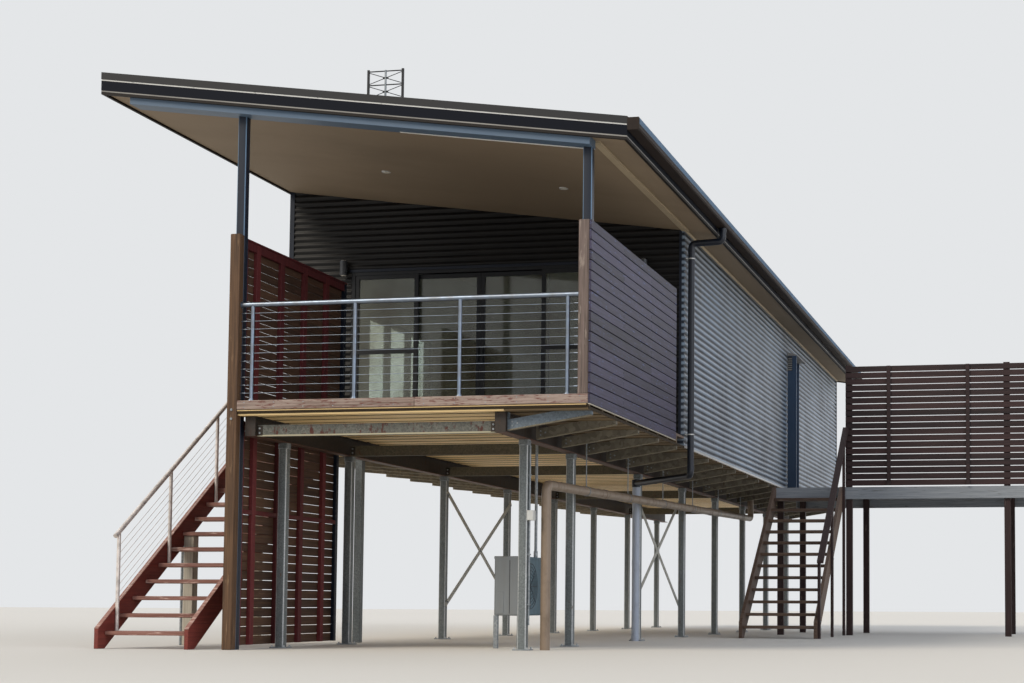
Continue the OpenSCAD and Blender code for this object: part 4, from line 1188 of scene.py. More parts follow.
@dataclass
class Deck:
    """The deck: boards that run back, the flaking edge board, joists and the ribbed lining below."""

    board: float = 0.090
    gap: float = 0.005
    edge_t: float = 0.032
    edge_h: float = 0.090
    edge_joint: float = 1.86
    nails: int = 12
    nail_rows: Pair = (0.022, 0.068)
    nail_inset: float = 0.08
    rib_pitch: float = 0.30
    rib: float = 0.045
    rib_slope: float = 0.008

    def build(self) -> None:
        """Builds the boards, edge, joists and lining."""
        self.boards()
        self.edge()
        self.lining()
        cover(JOIST_TIMBER, "deck_joists")
        cover(SLAB_BOARD, "floor_slab")

    def boards(self) -> None:
        """Lays the boards over the deck and over the landing beside it."""
        form, low, high = stand_in("Deck_boards", "deck_boards")
        split, landing = span("front_left_post")[1].x, span("deck_edge")[1].y
        side = self.gap / 2
        for start, end, y0 in ((split, high.x, low.y), (low.x, split, landing)):
            count = int((end - start) / (self.board + self.gap))
            wide = (end - start) / count
            for index in range(count):
                x = start + wide * index
                form.put(block((x + side, y0, low.z), (x + wide - side, high.y, high.z), 0.004))
        form.place([DECK_TIMBER], "deck_timber")

    def edge(self) -> None:
        """The boards along the deck's front, across the landing and beside the left screen, with nails."""
        form, low, high = stand_in("Deck_edge_boards", "deck_edge")
        left, split = (corner.x for corner in span("front_left_post"))
        deep, tall = self.edge_t, self.edge_h
        joints = [split, split + self.edge_joint, high.x]
        for a, b in zip(joints, joints[1:]):
            form.put(block((a + 0.001, 0.0, high.z - tall), (b - 0.001, deep, high.z), 0.004))
        form.put(block((low.x, high.y - deep, low.z), (left, high.y, high.z), 0.004))
        near, far = span("left_screen")
        form.put(block((far.x + 0.0005, near.y + 0.001, low.z), (split - 0.0005, high.y, high.z), 0.004))
        for x in spread(split + self.nail_inset, high.x - self.nail_inset, self.nails):
            for up in self.nail_rows:
                z = high.z - tall + up
                form.bar((x, 0.002, z), (x, -0.0015, z), 0.006, 8, 1)
        form.place([EDGE_TIMBER, GALVANISED_ROD], "edge_timber")

    def lining(self) -> None:
        """The steel lining under the floor, with flat ribs across the house, painted shade in its grooves
        and past the right bearer.
        """
        form, low, high = stand_in("Floor_lining_ribbed", "floor_lining")
        split, landing = span("front_left_post")[1].x, span("deck_edge")[1].y
        back, outer = span("floor_slab")[0].y, span("bearers")[1].x
        # The strip past the right bearer takes the painted shade.
        for x0, x1, y0, y1, slot in ((split, outer, low.y, back, 0), (low.x, split, landing, back, 0),
                                     (low.x, outer, back, high.y, 0), (outer, high.x, low.y, high.y, 2)):
            section = self.ribs(y0, y1, low.z, high.z - 0.003) + [(y1, high.z), (y0, high.z)]
            form.even(profile(section, Axis.X, x0, x1 - 0.003 if x1 == high.x else x1), slot)
        # Painted shade in the ribs' grooves.
        form.paint(1, lambda face: face.normal.z < -0.1 and face.calc_center_median().z > low.z + 0.002)
        # A dark strip along the right edge, in the ribs' painted shade.
        form.slab((high.x - 0.006, low.y, low.z), (high.x, back, low.z + 0.030), 0.001, 1)
        # Under the deck edge: a pale strip over a dark one, the dark one a painted shadow.
        for deep, z0, z1, slot in ((0.020, 0.026, 0.036, 0), (0.016, 0.004, 0.026, 1)):
            form.slab((split, low.y - deep, high.z + z0), (high.x - 0.02, low.y, high.z + z1), 0.002, slot)
        form.place([LINING_STEEL, RIB_PAINTED_SHADE, LINING_PAINTED_SHADE], "lining_metal")

    def ribs(self, start: float, end: float, low: float, high: float) -> list[Point]:
        """The underside's line, with a flat-topped rib at each pitch.

        Args:
            start: where the line begins.
            end: where it ends.
            low: height of the flats.
            high: height of the ribs' floors.

        Returns:
            The points, as distance and height.
        """
        points = [(start, low)]
        place = start + self.rib_pitch / 2
        while place + 2 * self.rib < end:
            far = place + self.rib
            points += [(place, low), (place + self.rib_slope, high), (far, high),
                       (far + self.rib_slope, low)]
            place += self.rib_pitch
        return points + [(end, low)]


@dataclass
class Railings:
    """The stainless balustrade and stair rail, and the balustrade's flanges, wire ends and end plates."""

    posts: int = 4
    post_inset: float = 0.12
    wire_count: int = 11
    wire_pitch: float = 0.080

    def build(self) -> None:
        """Dresses the rails and adds their fittings."""
        cover(STAINLESS, "balustrade")
        cover(STAIR_RAIL_HIGHLIGHT, "stair_rail")
        low, high = span("balustrade")
        form = Form("Balustrade_fittings")
        y, floor, rail = (low.y + high.y) / 2, low.z, high.z - 0.024
        wires = [floor + self.wire_pitch * (row + 1) for row in range(self.wire_count)]
        for x in spread(low.x + self.post_inset, high.x - self.post_inset, self.posts):
            form.bar((x, y, floor), (x, y, floor + 0.008), 0.040, 20, tip=0.038)
            form.bar((x, y, floor + 0.006), (x, y, floor + 0.026), 0.024, 20, tip=0.021)
            for z in wires:
                form.bar((x - 0.024, y, z), (x + 0.024, y, z), 0.0045)
        for x, way in ((low.x, 1.0), (high.x, -1.0)):
            form.bar((x, y, rail), (x + way * 0.006, y, rail), 0.036, 20)
            for z in wires:
                form.bar((x, y, z), (x + way * 0.055, y, z), 0.006, 8)
        form.place([STAINLESS], "rail_steel")


@dataclass
class Screens:
    """The slatted left screens, the boarded right screen, and the timber and steel posts in front."""

    pitch: float = 0.090
    lower_pitch: float = 0.095
    wide: float = 0.081
    lower_wide: float = 0.088
    thick: float = 0.022
    boards: int = 18
    board_gap: float = 0.0040
    batten: float = 0.085
    battens: tuple[float, ...] = (0.468, 1.030, 1.587, 2.150)
    batten_pitch: float = 1.2
    end_post: float = 0.065
    cap: float = 0.020
    middle_rail: Pair = (1.352, 0.045)
    bolts: tuple[float, ...] = (2.37, 2.28)
    beam_drop: float = 0.0852

    def build(self) -> None:
        """Builds the three screens and the posts."""
        self.slats("left_screen", self.pitch, self.wide)
        self.slats("lower_screen", self.lower_pitch, self.lower_wide)
        self.right()
        self.timber_posts()
        self.roof_posts()

    def slats(self, node: str, pitch: float, wide: float) -> None:
        """A slatted screen with battens, an end post and a rail inside, and screws where they cross.

        Args:
            node: name of the CAD node.
            pitch: distance between slats.
            wide: height of a slat.
        """
        form, low, high = stand_in(f"{node.capitalize()}_slats", node)
        upper = node == "left_screen"
        top, back = high.z - 0.002, low.x + self.thick
        rows = round((top - low.z - wide) / pitch) + 1
        step = (top - low.z - wide) / (rows - 1)
        heights = [low.z + step * row for row in range(rows)]
        for z in heights:
            form.put(block((low.x, low.y, z), (back, high.y, z + wide)))
        posts = [(y, self.batten, 1) for y in (low.y, *self.battens)]
        for y, width, slot in posts + [(high.y - self.end_post, self.end_post, 3)]:
            form.put(block((back, y, low.z), (high.x, y + width, top)), slot)
            middle = y + width / 2
            for foot in heights:
                z = foot + wide / 2
                form.bar((low.x + 0.001, middle, z), (low.x - 0.001, middle, z), 0.006, slot=2)
        z, tall = (high.z - self.cap - self.batten, self.batten) if upper else self.middle_rail
        form.put(block((back, low.y, z), (high.x - 0.002, high.y, z + tall)), 1)
        if upper:
            form.put(block((low.x - 0.003, low.y, high.z - self.cap), (high.x + 0.006, high.y, high.z)), 1)
        form.place([SLAT_TIMBER, BATTEN_TIMBER, GALVANISED_ROD, TRIM_STEEL], f"{node}_timber")

    def right(self) -> None:
        """The boarded screen: butted boards with shadow gaps, on battens inside."""
        form, low, high = stand_in("Right_screen_boards", "right_screen")
        face, back, floor = high.x, high.x - self.thick, span("front_right_post")[0].z
        pitch = (high.z - low.z) / self.boards
        battens = [high.y - self.batten - self.batten_pitch * index for index in range(3)]
        middles = [y + self.batten / 2 for y in battens]
        chance = random.Random(4)
        for row in range(self.boards):
            z = low.z + pitch * row
            stops = [low.y] + sorted(chance.sample(middles[1:], 1)) + [high.y]
            for a, b in zip(stops, stops[1:]):
                form.put(block((back, a + 0.0008, z + self.board_gap),
                               (face, b - 0.0008, z + pitch - self.board_gap)))
            for y in middles:
                for up in (0.024, pitch - 0.024):
                    form.bar((face - 0.001, y, z + up), (face, y, z + up), 0.004, slot=1)
        for y in battens:
            form.put(block((low.x, y, floor), (back, y + self.batten, high.z)), 0, 0.3)
        form.put(block((low.x, low.y + 0.095, high.z - 0.045), (back, high.y, high.z)), 0, 0.3)
        form.put(block((back, low.y, low.z - 0.006), (face - 0.002, high.y, low.z + 0.001), 0.0), 2, 0.9)
        form.place([SCREEN_STAIN_AND_SHEEN, GALVANISED_ROD, PROP_TIMBER], "right_screen_timber")

    def timber_posts(self) -> None:
        """The two timber posts beside the screens, with their bolts."""
        for node, finish in (("front_left_post", POST_TIMBER), ("front_right_post", POST_PALE)):
            form, low, high = stand_in(f"{node.capitalize()}_timber", node)
            form.slab(low, high, 0.006)
            x = (low.x + high.x) / 2
            for z in self.bolts:
                if low.z < z:
                    form.bar((x, low.y + 0.002, z), (x, low.y - 0.008, z), 0.013, slot=1)
            form.place([finish, GALVANISED_ROD], "post_timber")

    def roof_posts(self) -> None:
        """The two steel posts under the front beam, with painted highlights on their arrises."""
        form, low, high = stand_in("Roof_posts_steel", "roof_posts")
        side = high.y - low.y
        for x, foot in ((low.x, 0.0), (high.x - side, span("deck_boards")[1].z)):
            shaft = tube((x + side / 2, (low.y + high.y) / 2), side, foot, high.z + 0.02, 0.008)
            form.even(SLOPE.under(shaft, self.beam_drop))
        # The rounded corners take a painted highlight.
        form.paint(1, on_arris)
        form.place([DARK_STEEL, ROOF_POST_HIGHLIGHT], "dark_steel")


@dataclass
class Underframe:
    """The steel frame under the floor: posts, bearers, cross beams, outriggers and bracing."""

    rows: tuple[float, ...] = (0.88, 2.55, 5.60, 8.20, 10.55, 12.90, 15.25, 17.60)
    side: float = 0.090
    plate: float = 0.085
    anchor: float = 0.066
    cheek: float = 0.049
    saddle: float = 0.060
    bearer_w: float = 0.110
    web: float = 0.008
    flange: float = 0.010
    beams: tuple[float, ...] = (0.150, 2.440, 5.490, 10.440, 15.140)
    beam_lip: float = 0.014
    pitch: float = 0.920
    thick: float = 0.060
    root: float = 0.180
    tip: float = 0.045
    void: float = 0.075

    def build(self) -> None:
        """Builds the frame from the ground up."""
        self.post_rows()
        self.bearers()
        self.cross_beams()
        self.outriggers()
        self.bracing_fittings()
        cover(BRACE_STEEL, "post_bracing")

    def post_rows(self) -> None:
        """Square hollow posts with a painted highlight on their rounded corners, base plates, saddles and
        bolts.
        """
        for node in ("left_posts", "right_posts"):
            form, low, high = stand_in(f"{node.capitalize()}_steel", node)
            middle, half, top = (low.x + high.x) / 2, self.side / 2, high.z - self.saddle
            for y in self.rows:
                form.even(tube((middle, y), self.side, 0.0, top))
                # The rounded corners take a painted highlight.
                form.paint(2, on_arris)
                for wide, deep, z0, z1, edge, slot in ((0.050, half, top, top + 0.010, 0.002, 1),
                                                       (0.045, half, top + 0.008, high.z, 0.001, 0),
                                                       (self.plate, self.plate, 0.0, 0.012, 0.002, 1)):
                    form.slab((middle - wide, y - deep, z0), (middle + wide, y + deep, z1), edge, slot)
                for side in SIDES:
                    x, z = middle + side * self.cheek, top + 0.034
                    near, far = (x - 0.0035, y - 0.035, top + 0.008), (x + 0.0035, y + 0.035, high.z)
                    form.slab(near, far, 0.001, 1)
                    for across in (-0.018, 0.018):
                        form.bar((x, y + across, z), (x + side * 0.010, y + across, z), 0.009, slot=1)
                    for way in SIDES:
                        spot = (middle + self.anchor * side, y + self.anchor * way)
                        form.bar((*spot, 0.012), (*spot, 0.030), 0.010, slot=1)
            form.place([POST_STEEL, GALVANISED_ROD, ZINC_ARRIS_HIGHLIGHT], "post_steel")

    def channel(self, x0: float, x1: float, z0: float, z1: float) -> list[Point]:
        """The section of a beam with two flanges, which fills its box."""
        web, flange, middle = self.web / 2, self.flange, (x0 + x1) / 2
        return [(x0, z0), (x1, z0), (x1, z0 + flange), (middle + web, z0 + flange),
                (middle + web, z1 - flange), (x1, z1 - flange), (x1, z1), (x0, z1), (x0, z1 - flange),
                (middle - web, z1 - flange), (middle - web, z0 + flange), (x0, z0 + flange)]

    def bearers(self) -> None:
        """The two long beams over the posts, with redder lower flanges."""
        form, low, high = stand_in("Bearers_steel_beams", "bearers")
        wide = self.bearer_w
        for x in (low.x, high.x - wide):
            form.even(profile(self.channel(x, x + wide, low.z, high.z), Axis.Y, low.y + 0.004, high.y))
            form.slab((x, low.y, low.z), (x + wide, low.y + 0.008, high.z), 0.001)
        form.paint(1, lambda face: face.calc_center_median().z < low.z + self.flange + 0.001)
        form.place([BEARER_STEEL, FLANGE_STEEL], "bearer_steel")

    def cross_beams(self) -> None:
        """The beams between the bearers: channels with bolted cleats, the first with a bright lower lip."""
        form, low, high = stand_in("Cross_beams_steel", "cross_beams")
        z0, z1, lip, skin = low.z, high.z, self.beam_lip, 0.005
        for index, y in enumerate(self.beams):
            far, tip = y + self.thick - skin, y + self.thick
            section = [(y, z0), (tip, z0), (tip, z0 + lip), (far, z0 + lip), (far, z0 + skin),
                       (y + skin, z0 + skin), (y + skin, z1 - skin), (far, z1 - skin), (far, z1 - lip),
                       (tip, z1 - lip), (tip, z1), (y, z1)]
            form.even(profile(section, Axis.X, low.x, high.x), 4 if index else 0)
            if index == 0:
                form.slab((low.x, y - 0.004, z0), (high.x, y, z0 + 0.016), 0.001, 1)
            for x, way in ((low.x, 1.0), (high.x, -1.0)):
                a, b = sorted((x, x + way * 0.055))
                form.slab((a, y - 0.007, z0 + 0.010), (b, y, z1 - 0.010), 0.001, 2)
                spot = x + way * 0.028
                for z in (z0 + 0.035, z1 - 0.035):
                    form.bar((spot, y - 0.006, z), (spot, y - 0.016, z), 0.010, slot=3)
        form.place([CROSS_STEEL, LIP_BRIGHT, BEARER_STEEL, GALVANISED_ROD, CROSS_DARK], "cross_steel")

    def outriggers(self) -> None:
        """The raking arms: channels that slope up to the floor's edge, with a painted highlight on the lower
        lip.
        """
        form, low, high = stand_in("Outriggers_tapered_arms", "outriggers")
        half = self.bearer_w / 2
        left_root, right_root = (sum(corner.x for corner in span(node)) / 2 + way * half
                                 for node, way in (("left_posts", -1.0), ("right_posts", 1.0)))
        deck_back = span("floor_slab")[0].y
        y = low.y
        while y + self.thick <= high.y + 0.001:
            self.arm(form, y, right_root, high.x, high.z, 2 if y == low.y else 0)
            if y > deck_back:
                self.arm(form, y, left_root, low.x, high.z, 0)
            y += self.pitch
        form.place([OUTRIGGER_STEEL, ARM_SOLE_HIGHLIGHT, ARM_BLUE, GALVANISED_ROD], "outrigger_steel")

    def arm(self, form: Form, y: float, root: float, tip: float, top: float, slot: int) -> None:
        """One arm from the bearer to its tip.

        Args:
            form: the form it joins.
            y: its front face.
            root: its end at the bearer.
            tip: its outer end.
            top: height of its top face.
            slot: number of its finish.
        """
        skin, lip = 0.006, 0.008
        way, far = (1.0 if tip > root else -1.0), y + self.thick
        foot, end, open_z = top - self.root, top - self.tip, top - self.void
        middle = root + way * self.void * abs(tip - root) / (self.root - self.tip)
        web = [(root, foot), (tip, end), (tip, top), (middle, top), (root, open_z)]
        sole = [(root, foot), (tip, end), (tip, end + lip), (root, foot + lip)]
        head = [(root, open_z - lip), (middle, top - lip), (middle, top), (root, open_z)]
        cap = [(middle, top - lip), (tip, top - lip), (tip, top), (middle, top)]
        # The sole takes the painted highlight of the lower lip.
        for outline, a, b, number in ((web, y + 0.004, y + 0.004 + skin, slot), (sole, y, far, 1),
                                      (head, y + 0.002, far, slot), (cap, y + 0.002, far, slot)):
            form.even(profile(outline, Axis.Y, a, b), number)
        for x, deep, low in ((root, way * 0.010, foot), (tip, -way * 0.006, end)):
            a, b = sorted((x, x + deep))
            form.slab((a, y + 0.001, low), (b, far - 0.001, top), 0.001, slot)
        for across, up in ((0.05, 0.045), (0.05, 0.085), (0.10, 0.070)):
            x, z = root + way * across, foot + up
            form.bar((x, y + 0.005, z), (x, y - 0.004, z), 0.009, slot=3)

    def bracing_fittings(self) -> None:
        """Bolts and washers where the crossed flats meet the posts and each other."""
        low, high = span("post_bracing")
        form = Form("Bracing_bolts")
        spots = [(y, z) for z in (low.z + 0.06, high.z - 0.06) for y in (low.y + 0.05, high.y - 0.05)]
        spots.append(((low.y + high.y) / 2, (low.z + high.z) / 2))
        for x, way in ((low.x, 1.0), (high.x, -1.0)):
            face = x + way * 0.008
            for y, z in spots:
                form.bar((face, y, z), (face + way * 0.003, y, z), 0.018, 16)
                form.bar((face, y, z), (face + way * 0.012, y, z), 0.012)
        form.place([GALVANISED_ROD], "brace_steel")


@dataclass
class FrontStair:
    """The front stair: stained stringers, open treads of two boards, prop and landing posts."""

    risers: int = 14
    going: float = 0.252
    tread_d: float = 0.240
    tread_t: float = 0.042
    board_gap: float = 0.006
    first: float = 0.060
    side_w: float = 0.290
    side_t: float = 0.045
    post: float = 0.090
    prop: float = 0.115
    prop_tread: int = 7
    nail_rows: Pair = (0.030, 0.200)
    nail_inset: float = 0.04

    def build(self) -> None:
        """Builds the stringers, treads and props."""
        self.stringers()
        self.treads()
        self.props()

    def stringers(self) -> None:
        """Closed sides with a paler worn top edge and a steel foot."""
        form, low, high = stand_in("Stair_stringers_timber", "stair_stringers")
        rise = span("deck_boards")[1].z / self.risers
        toe, back, toe_top, flat = low.y, high.y, rise + 0.030, high.y - 0.100
        line = toe_top + (back - toe) * (rise / self.going)
        side = [(toe, 0.0), (toe + 0.130, 0.0), (back, line - self.side_w), (back, line - 0.062),
                (flat, line - 0.062), (toe, toe_top - 0.002)]
        cap = [(toe, toe_top - 0.010), (flat, line - 0.070), (flat, line - 0.060), (toe, toe_top)]
        for x in (low.x, high.x - self.side_t):
            form.put(eased(profile(side, Axis.X, x, x + self.side_t), 0.004), 0, 0.6)
            form.put(profile(cap, Axis.X, x + 0.0005, x + self.side_t - 0.0005), 1, 0.8)
            form.slab((x - 0.006, toe + 0.03, 0.0), (x, toe + 0.08, 0.090), 0.001, 2)
            form.bar((x - 0.006, toe + 0.055, 0.06), (x - 0.016, toe + 0.055, 0.06), 0.010, slot=2)
        form.place([STRINGER_TIMBER, TREAD_TIMBER, GALVANISED_ROD], "stringer_timber")

    def treads(self) -> None:
        """Each tread is two boards with a gap, and nail heads near its ends."""
        form, low, high = stand_in("Stair_treads_timber", "stair_treads")
        rise = span("deck_boards")[1].z / self.risers
        half = (self.tread_d - self.board_gap) / 2
        for index in range(self.risers - 1):
            y, top = self.first + self.going * index, rise * (index + 1)
            for front, back in ((y, y + half), (y + half + self.board_gap, y + self.tread_d)):
                form.put(block((low.x, front, top - self.tread_t), (high.x, back, top), 0.005))
            for x in (low.x + self.nail_inset, high.x - self.nail_inset):
                for back in self.nail_rows:
                    form.bar((x, y + back, top - 0.001), (x, y + back, top + 0.0015), 0.006, 8, 1)
        form.place([TREAD_TIMBER, GALVANISED_ROD], "tread_timber")

    def props(self) -> None:
        """The posts under the landing and the stair, with a thin pipe beside the prop."""
        form, low, high = stand_in("Landing_posts_timber", "landing_posts")
        side, size, x, y = self.post, self.prop, low.x + 0.080, low.y
        for foot, slot in ((low.x, 0), (high.x - side, 2)):
            form.put(block((foot, high.y - side, 0.0), (foot + side, high.y, high.z), 0.005), slot)
        tread = span("deck_boards")[1].z / self.risers * self.prop_tread - self.tread_t
        form.put(block((x, y, 0.0), (x + size, y + size, tread), 0.006))
        form.bar((x - 0.03, y + 0.03, 0.0), (x - 0.03, y + 0.03, tread - 0.002), 0.014, 12, 1)
        form.place([PROP_TIMBER, GALVANISED_ROD, POST_STEEL], "prop_timber")


@dataclass
class SideAccess:
    """The side deck with its stair, rail and slatted fence."""

    going: float = 0.235
    risers: int = 13
    stringer_t: float = 0.045
    tread_t: float = 0.042
    deck_t: float = 0.035
    deck_pitch: float = 0.095
    joist: float = 0.045
    fence_pitch: float = 0.095
    slat: float = 0.086
    slat_t: float = 0.022
    fence_post: float = 0.095
    fence_batten: float = 0.060
    bay: float = 2.40
    bays: int = 2
    rail_foot: float = 7.78
    rail_slope: float = 0.74
    bolt_inset: float = 0.045
    bolt_rows: Pair = (0.10, 0.20)

    def build(self) -> None:
        """Builds the deck, stair, rail, posts and fence."""
        self.deck()
        self.stair()
        self.rail()
        self.fence()

    def deck(self) -> None:
        """Boards on the side deck, its edge boards and posts."""
        form, low, high = stand_in("Side_deck_boards", "side_deck")
        inner = high.y - low.y - 2 * self.joist
        count = int(inner / self.deck_pitch)
        wide = inner / count
        for index in range(count):
            y = low.y + self.joist + wide * index
            form.put(block((low.x, y + 0.002, high.z - self.deck_t), (high.x, y + wide - 0.002, high.z)))
        for y in (low.y, high.y - self.joist):
            form.put(block((low.x, y, low.z), (high.x, y + self.joist, high.z), 0.004))
        form.place([SIDE_DECK_TIMBER], "side_deck_timber")
        cover(SIDE_POST_TIMBER, "side_posts")

    def stair(self) -> None:
        """The side stair's sawn sides and its boarded treads."""
        form, low, high = stand_in("Side_stringers_timber", "side_stringers")
        toe, back, rise = low.y, high.y, high.z / self.risers
        side = [(toe, 0.0), (toe + 0.150, 0.0), (back, high.z - 0.300), (back, high.z),
                (back - 0.090, high.z), (toe, rise + 0.050)]
        for x in (low.x, high.x - self.stringer_t):
            form.put(profile(side, Axis.X, x, x + self.stringer_t))
        form.place([SIDE_TIMBER], "side_stair_timber")
        form, low, high = stand_in("Side_treads_timber", "side_treads")
        for index in range(1, self.risers):
            y0, y1 = back - self.going * index + 0.002, back - self.going * (index - 1) - 0.008
            top = rise * (self.risers - index)
            half = (y1 - y0 - 0.006) / 2
            for a, b in ((y0, y0 + half), (y1 - half, y1)):
                form.put(block((low.x, a, top - self.tread_t), (high.x, b, top), 0.004))
        form.place([SIDE_TIMBER], "side_tread_timber")

    def rail(self) -> None:
        """Dresses the side stair's rail, and adds its coach bolts."""
        cover(SIDE_POST_TIMBER, "side_rail")
        low, high = span("side_rail")
        form = Form("Side_rail_bolts")
        for y in spread(self.rail_foot + self.bolt_inset, high.y - self.bolt_inset, 3):
            for z in self.bolt_rows:
                up = z + max(0.0, (y - self.rail_foot) * self.rail_slope)
                form.bar((low.x + 0.035, y, up), (low.x + 0.045, y, up), 0.011)
        form.place([GALVANISED_ROD], "side_rail_timber")

    def fence(self) -> None:
        """The slatted fence with thin battens behind its slats."""
        form, low, high = stand_in("Fence_slats_timber", "fence_slats")
        face, back, base = high.y, high.y - self.slat_t, span("side_deck")[1].z + 0.020
        tall = high.z - base - self.slat
        rows = round(tall / self.fence_pitch) + 1
        for row in range(rows):
            z = base + tall / (rows - 1) * row
            form.put(block((low.x, back, z), (high.x, face, z + self.slat)))
        for index in range(2 * self.bays):
            x = low.x + self.fence_post + self.bay * (index + 0.5) / 2 - self.fence_batten
            form.put(block((x, low.y, base), (x + self.fence_batten, back, high.z)))
        form.place([FENCE_TIMBER], "fence_timber")


def around(turn: float, radius: float) -> Vector:
    """A place on an upright circle that faces along X, from its middle."""
    return Vector((0.0, radius * math.cos(turn), radius * math.sin(turn)))


@dataclass
class Services:
    """Downpipe, rain pipe, waste pipe, outdoor unit and the conduit on a post."""

    pipe_y: float = 4.325
    pipe_r: float = 0.040
    outlet_x: float = 5.540
    eave_x: float = 5.480
    eave_drop: float = 0.084
    bend: float = 0.055
    wall_x: float = 5.160
    under_z: float = 1.994
    clips: Pair = (4.60, 2.48)
    rain_r: float = 0.048
    waste_r: float = 0.050
    waste_y: Pair = (1.0, 12.6)
    waste_z: Pair = (1.666, 1.897)
    sockets: tuple[float, ...] = (3.2, 6.2, 9.2, 11.8)
    waste_bend: float = 0.09
    hangers: int = 6
    hanger_start: float = 2.48
    hanger_pitch: float = 1.84
    unit_z: Pair = (0.340, 0.960)
    unit_leg: float = 0.045
    louvres: int = 14
    rings: int = 6
    ring_pitch: float = 0.036
    ring_first: float = 0.060
    spokes: int = 4
    spoke: float = 0.245
    conduit_y: float = 0.88
    conduit_foot: float = 0.25
    box_z: Pair = (1.30, 1.40)
    conduit_clips: tuple[float, ...] = (0.45, 0.95, 1.75)

    def build(self) -> None:
        """Builds the pipes, the unit and the conduit."""
        self.downpipe()
        self.rain_pipe()
        self.waste()
        self.unit()
        self.conduit()

    def downpipe(self) -> None:
        """The round downpipe with its elbows, joint rings and clips."""
        high, rain = span("downpipe")[1], span("rain_pipe")
        form = Form("Downpipe_round_steel", "downpipe")
        y, top, out, wall, under = self.pipe_y, high.z, self.outlet_x, self.wall_x, self.under_z
        eave = SLOPE.soffit(self.eave_x) - self.eave_drop
        end = Vector(((rain[0].x + rain[1].x) / 2, (rain[0].y + rain[1].y) / 2, under))
        route = [Vector((out, y, top)), Vector((out, y, eave)), Vector((wall, y, eave - 0.015)),
                 Vector((wall, y, under)), end]
        form.even(pipe(rounded(route, self.bend), self.pipe_r, 24))
        form.bar(end + Vector((0.0, 0.0, 0.046)), end - Vector((0.0, 0.0, 0.050)), 0.052, 24)
        for z in self.clips:
            form.bar((wall, y, z), (wall, y, z + 0.012), self.pipe_r + 0.003, 24, 1)
            form.slab((SLOPE.wall_x, y - 0.045, z), (SLOPE.wall_x + 0.022, y + 0.045, z + 0.012), 0.001, 1)
        for z in (eave - 0.13, 2.05):
            form.bar((wall, y, z), (wall, y, z + 0.06), self.pipe_r + 0.003, 24)
        form.bar((out, y, top - 0.05), (out, y, top), self.pipe_r + 0.004, 24)
        form.place([DOWNPIPE_STEEL, FLASHING_STEEL], "downpipe_paint")

    def rain_pipe(self) -> None:
        """The plastic riser under the floor, with three sockets."""
        form, low, high = stand_in("Rain_pipe_riser", "rain_pipe")
        x, y = (low.x + high.x) / 2, (low.y + high.y) / 2
        form.bar((x, y, 0.0), (x, y, high.z), self.rain_r - 0.002, 28)
        for z in (0.02, 0.95, high.z - 0.08):
            form.bar((x, y, z), (x, y, z + 0.07), self.rain_r, 28)
        form.place([RAIN_PLASTIC], "rain_plastic")

    def waste(self) -> None:
        """The long waste pipe on its hanger rods, with sockets."""
        form, low, high = stand_in("Waste_pipe_on_hangers", "waste_pipe")
        x, (y0, y1), (z0, z1) = (low.x + high.x) / 2, self.waste_y, self.waste_z
        route = [Vector((x, y0, 0.0)), Vector((x, y0, z0)), Vector((x, y1, z1)), Vector((x, y1, high.z))]
        form.even(pipe(rounded(route, self.waste_bend), self.waste_r, 24))
        fall = (z1 - z0) / (y1 - y0)
        for y in self.sockets:
            spot = Vector((x, y, z0 + (y - y0) * fall))
            form.bar(spot, spot + Vector((0.0, 0.10, 0.10 * fall)), self.waste_r + 0.005, 24)
        for index in range(self.hangers):
            y = self.hanger_start + self.hanger_pitch * index
            z = z0 + (y - y0) * fall
            form.bar((x, y, z), (x, y, high.z), 0.006, 8, 1)
            form.bar((x, y - 0.012, z), (x, y + 0.012, z), self.waste_r + 0.004, 24, 1)
        form.place([WASTE_PLASTIC, GALVANISED_ROD], "waste_plastic")

    def unit(self) -> None:
        """The outdoor unit: a folded case with a louvred end, a fan grille, legs and a conduit."""
        form, low, high = stand_in("Outdoor_unit_case", "outdoor_unit")
        x0, x1, y0, y1, (z0, z1) = low.x, high.x, low.y, high.y, self.unit_z
        form.slab((x0 + 0.004, y0 + 0.002, z0), (x1 - 0.004, y1 - 0.004, z1 - 0.004), 0.012)
        form.slab((x0, y0 + 0.001, z1 - 0.030), (x1, y1, z1), 0.006)
        form.paint(4, lambda face: face.normal.x > 0.5)
        for z in spread(z0 + 0.08, z0 + 0.52, self.louvres):
            form.slab((x0 + 0.001, y0 + 0.10, z), (x0 + 0.008, y1 - 0.10, z + 0.012), 0.002, 1)
        panel = x1 - 0.130
        form.slab((panel, y0, z0 + 0.02), (panel + 0.006, y0 + 0.003, z1 - 0.04), 0.0, 1)
        form.slab((x0 + 0.020, y0 - 0.002, z0 + 0.02), (panel - 0.06, y0 + 0.003, z0 + 0.25), 0.002)
        middle = Vector((x1 - 0.003, (y0 + y1) / 2 - 0.12, (z0 + z1) / 2))
        for ring in range(self.rings):
            turns = [math.tau * step / 24 for step in range(25)]
            radius = self.ring_first + self.ring_pitch * ring
            form.even(pipe([middle + around(turn, radius) for turn in turns], 0.0028, 6), 1)
        for index in range(self.spokes):
            arm = around(math.pi * index / self.spokes, self.spoke)
            form.bar(middle - arm, middle + arm, 0.003, slot=1)
        leg = self.unit_leg
        for x in (x0, x1 - leg):
            for y in (y0, y1 - leg):
                form.slab((x, y, 0.0), (x + leg, y + leg, z0 + 0.004), 0.003, 2)
        spot = Vector((x1 - 0.05, y0 + 0.648, z1))
        form.bar(spot, (spot.x, spot.y, high.z), 0.016, 16, 2)
        form.bar(spot, spot + Vector((0.0, 0.0, 0.07)), 0.022, 16, 2)
        form.place([UNIT_PAINT, UNIT_DARK, GALVANISED_ROD, BOX_PLASTIC, UNIT_SIDE], "unit_metal")

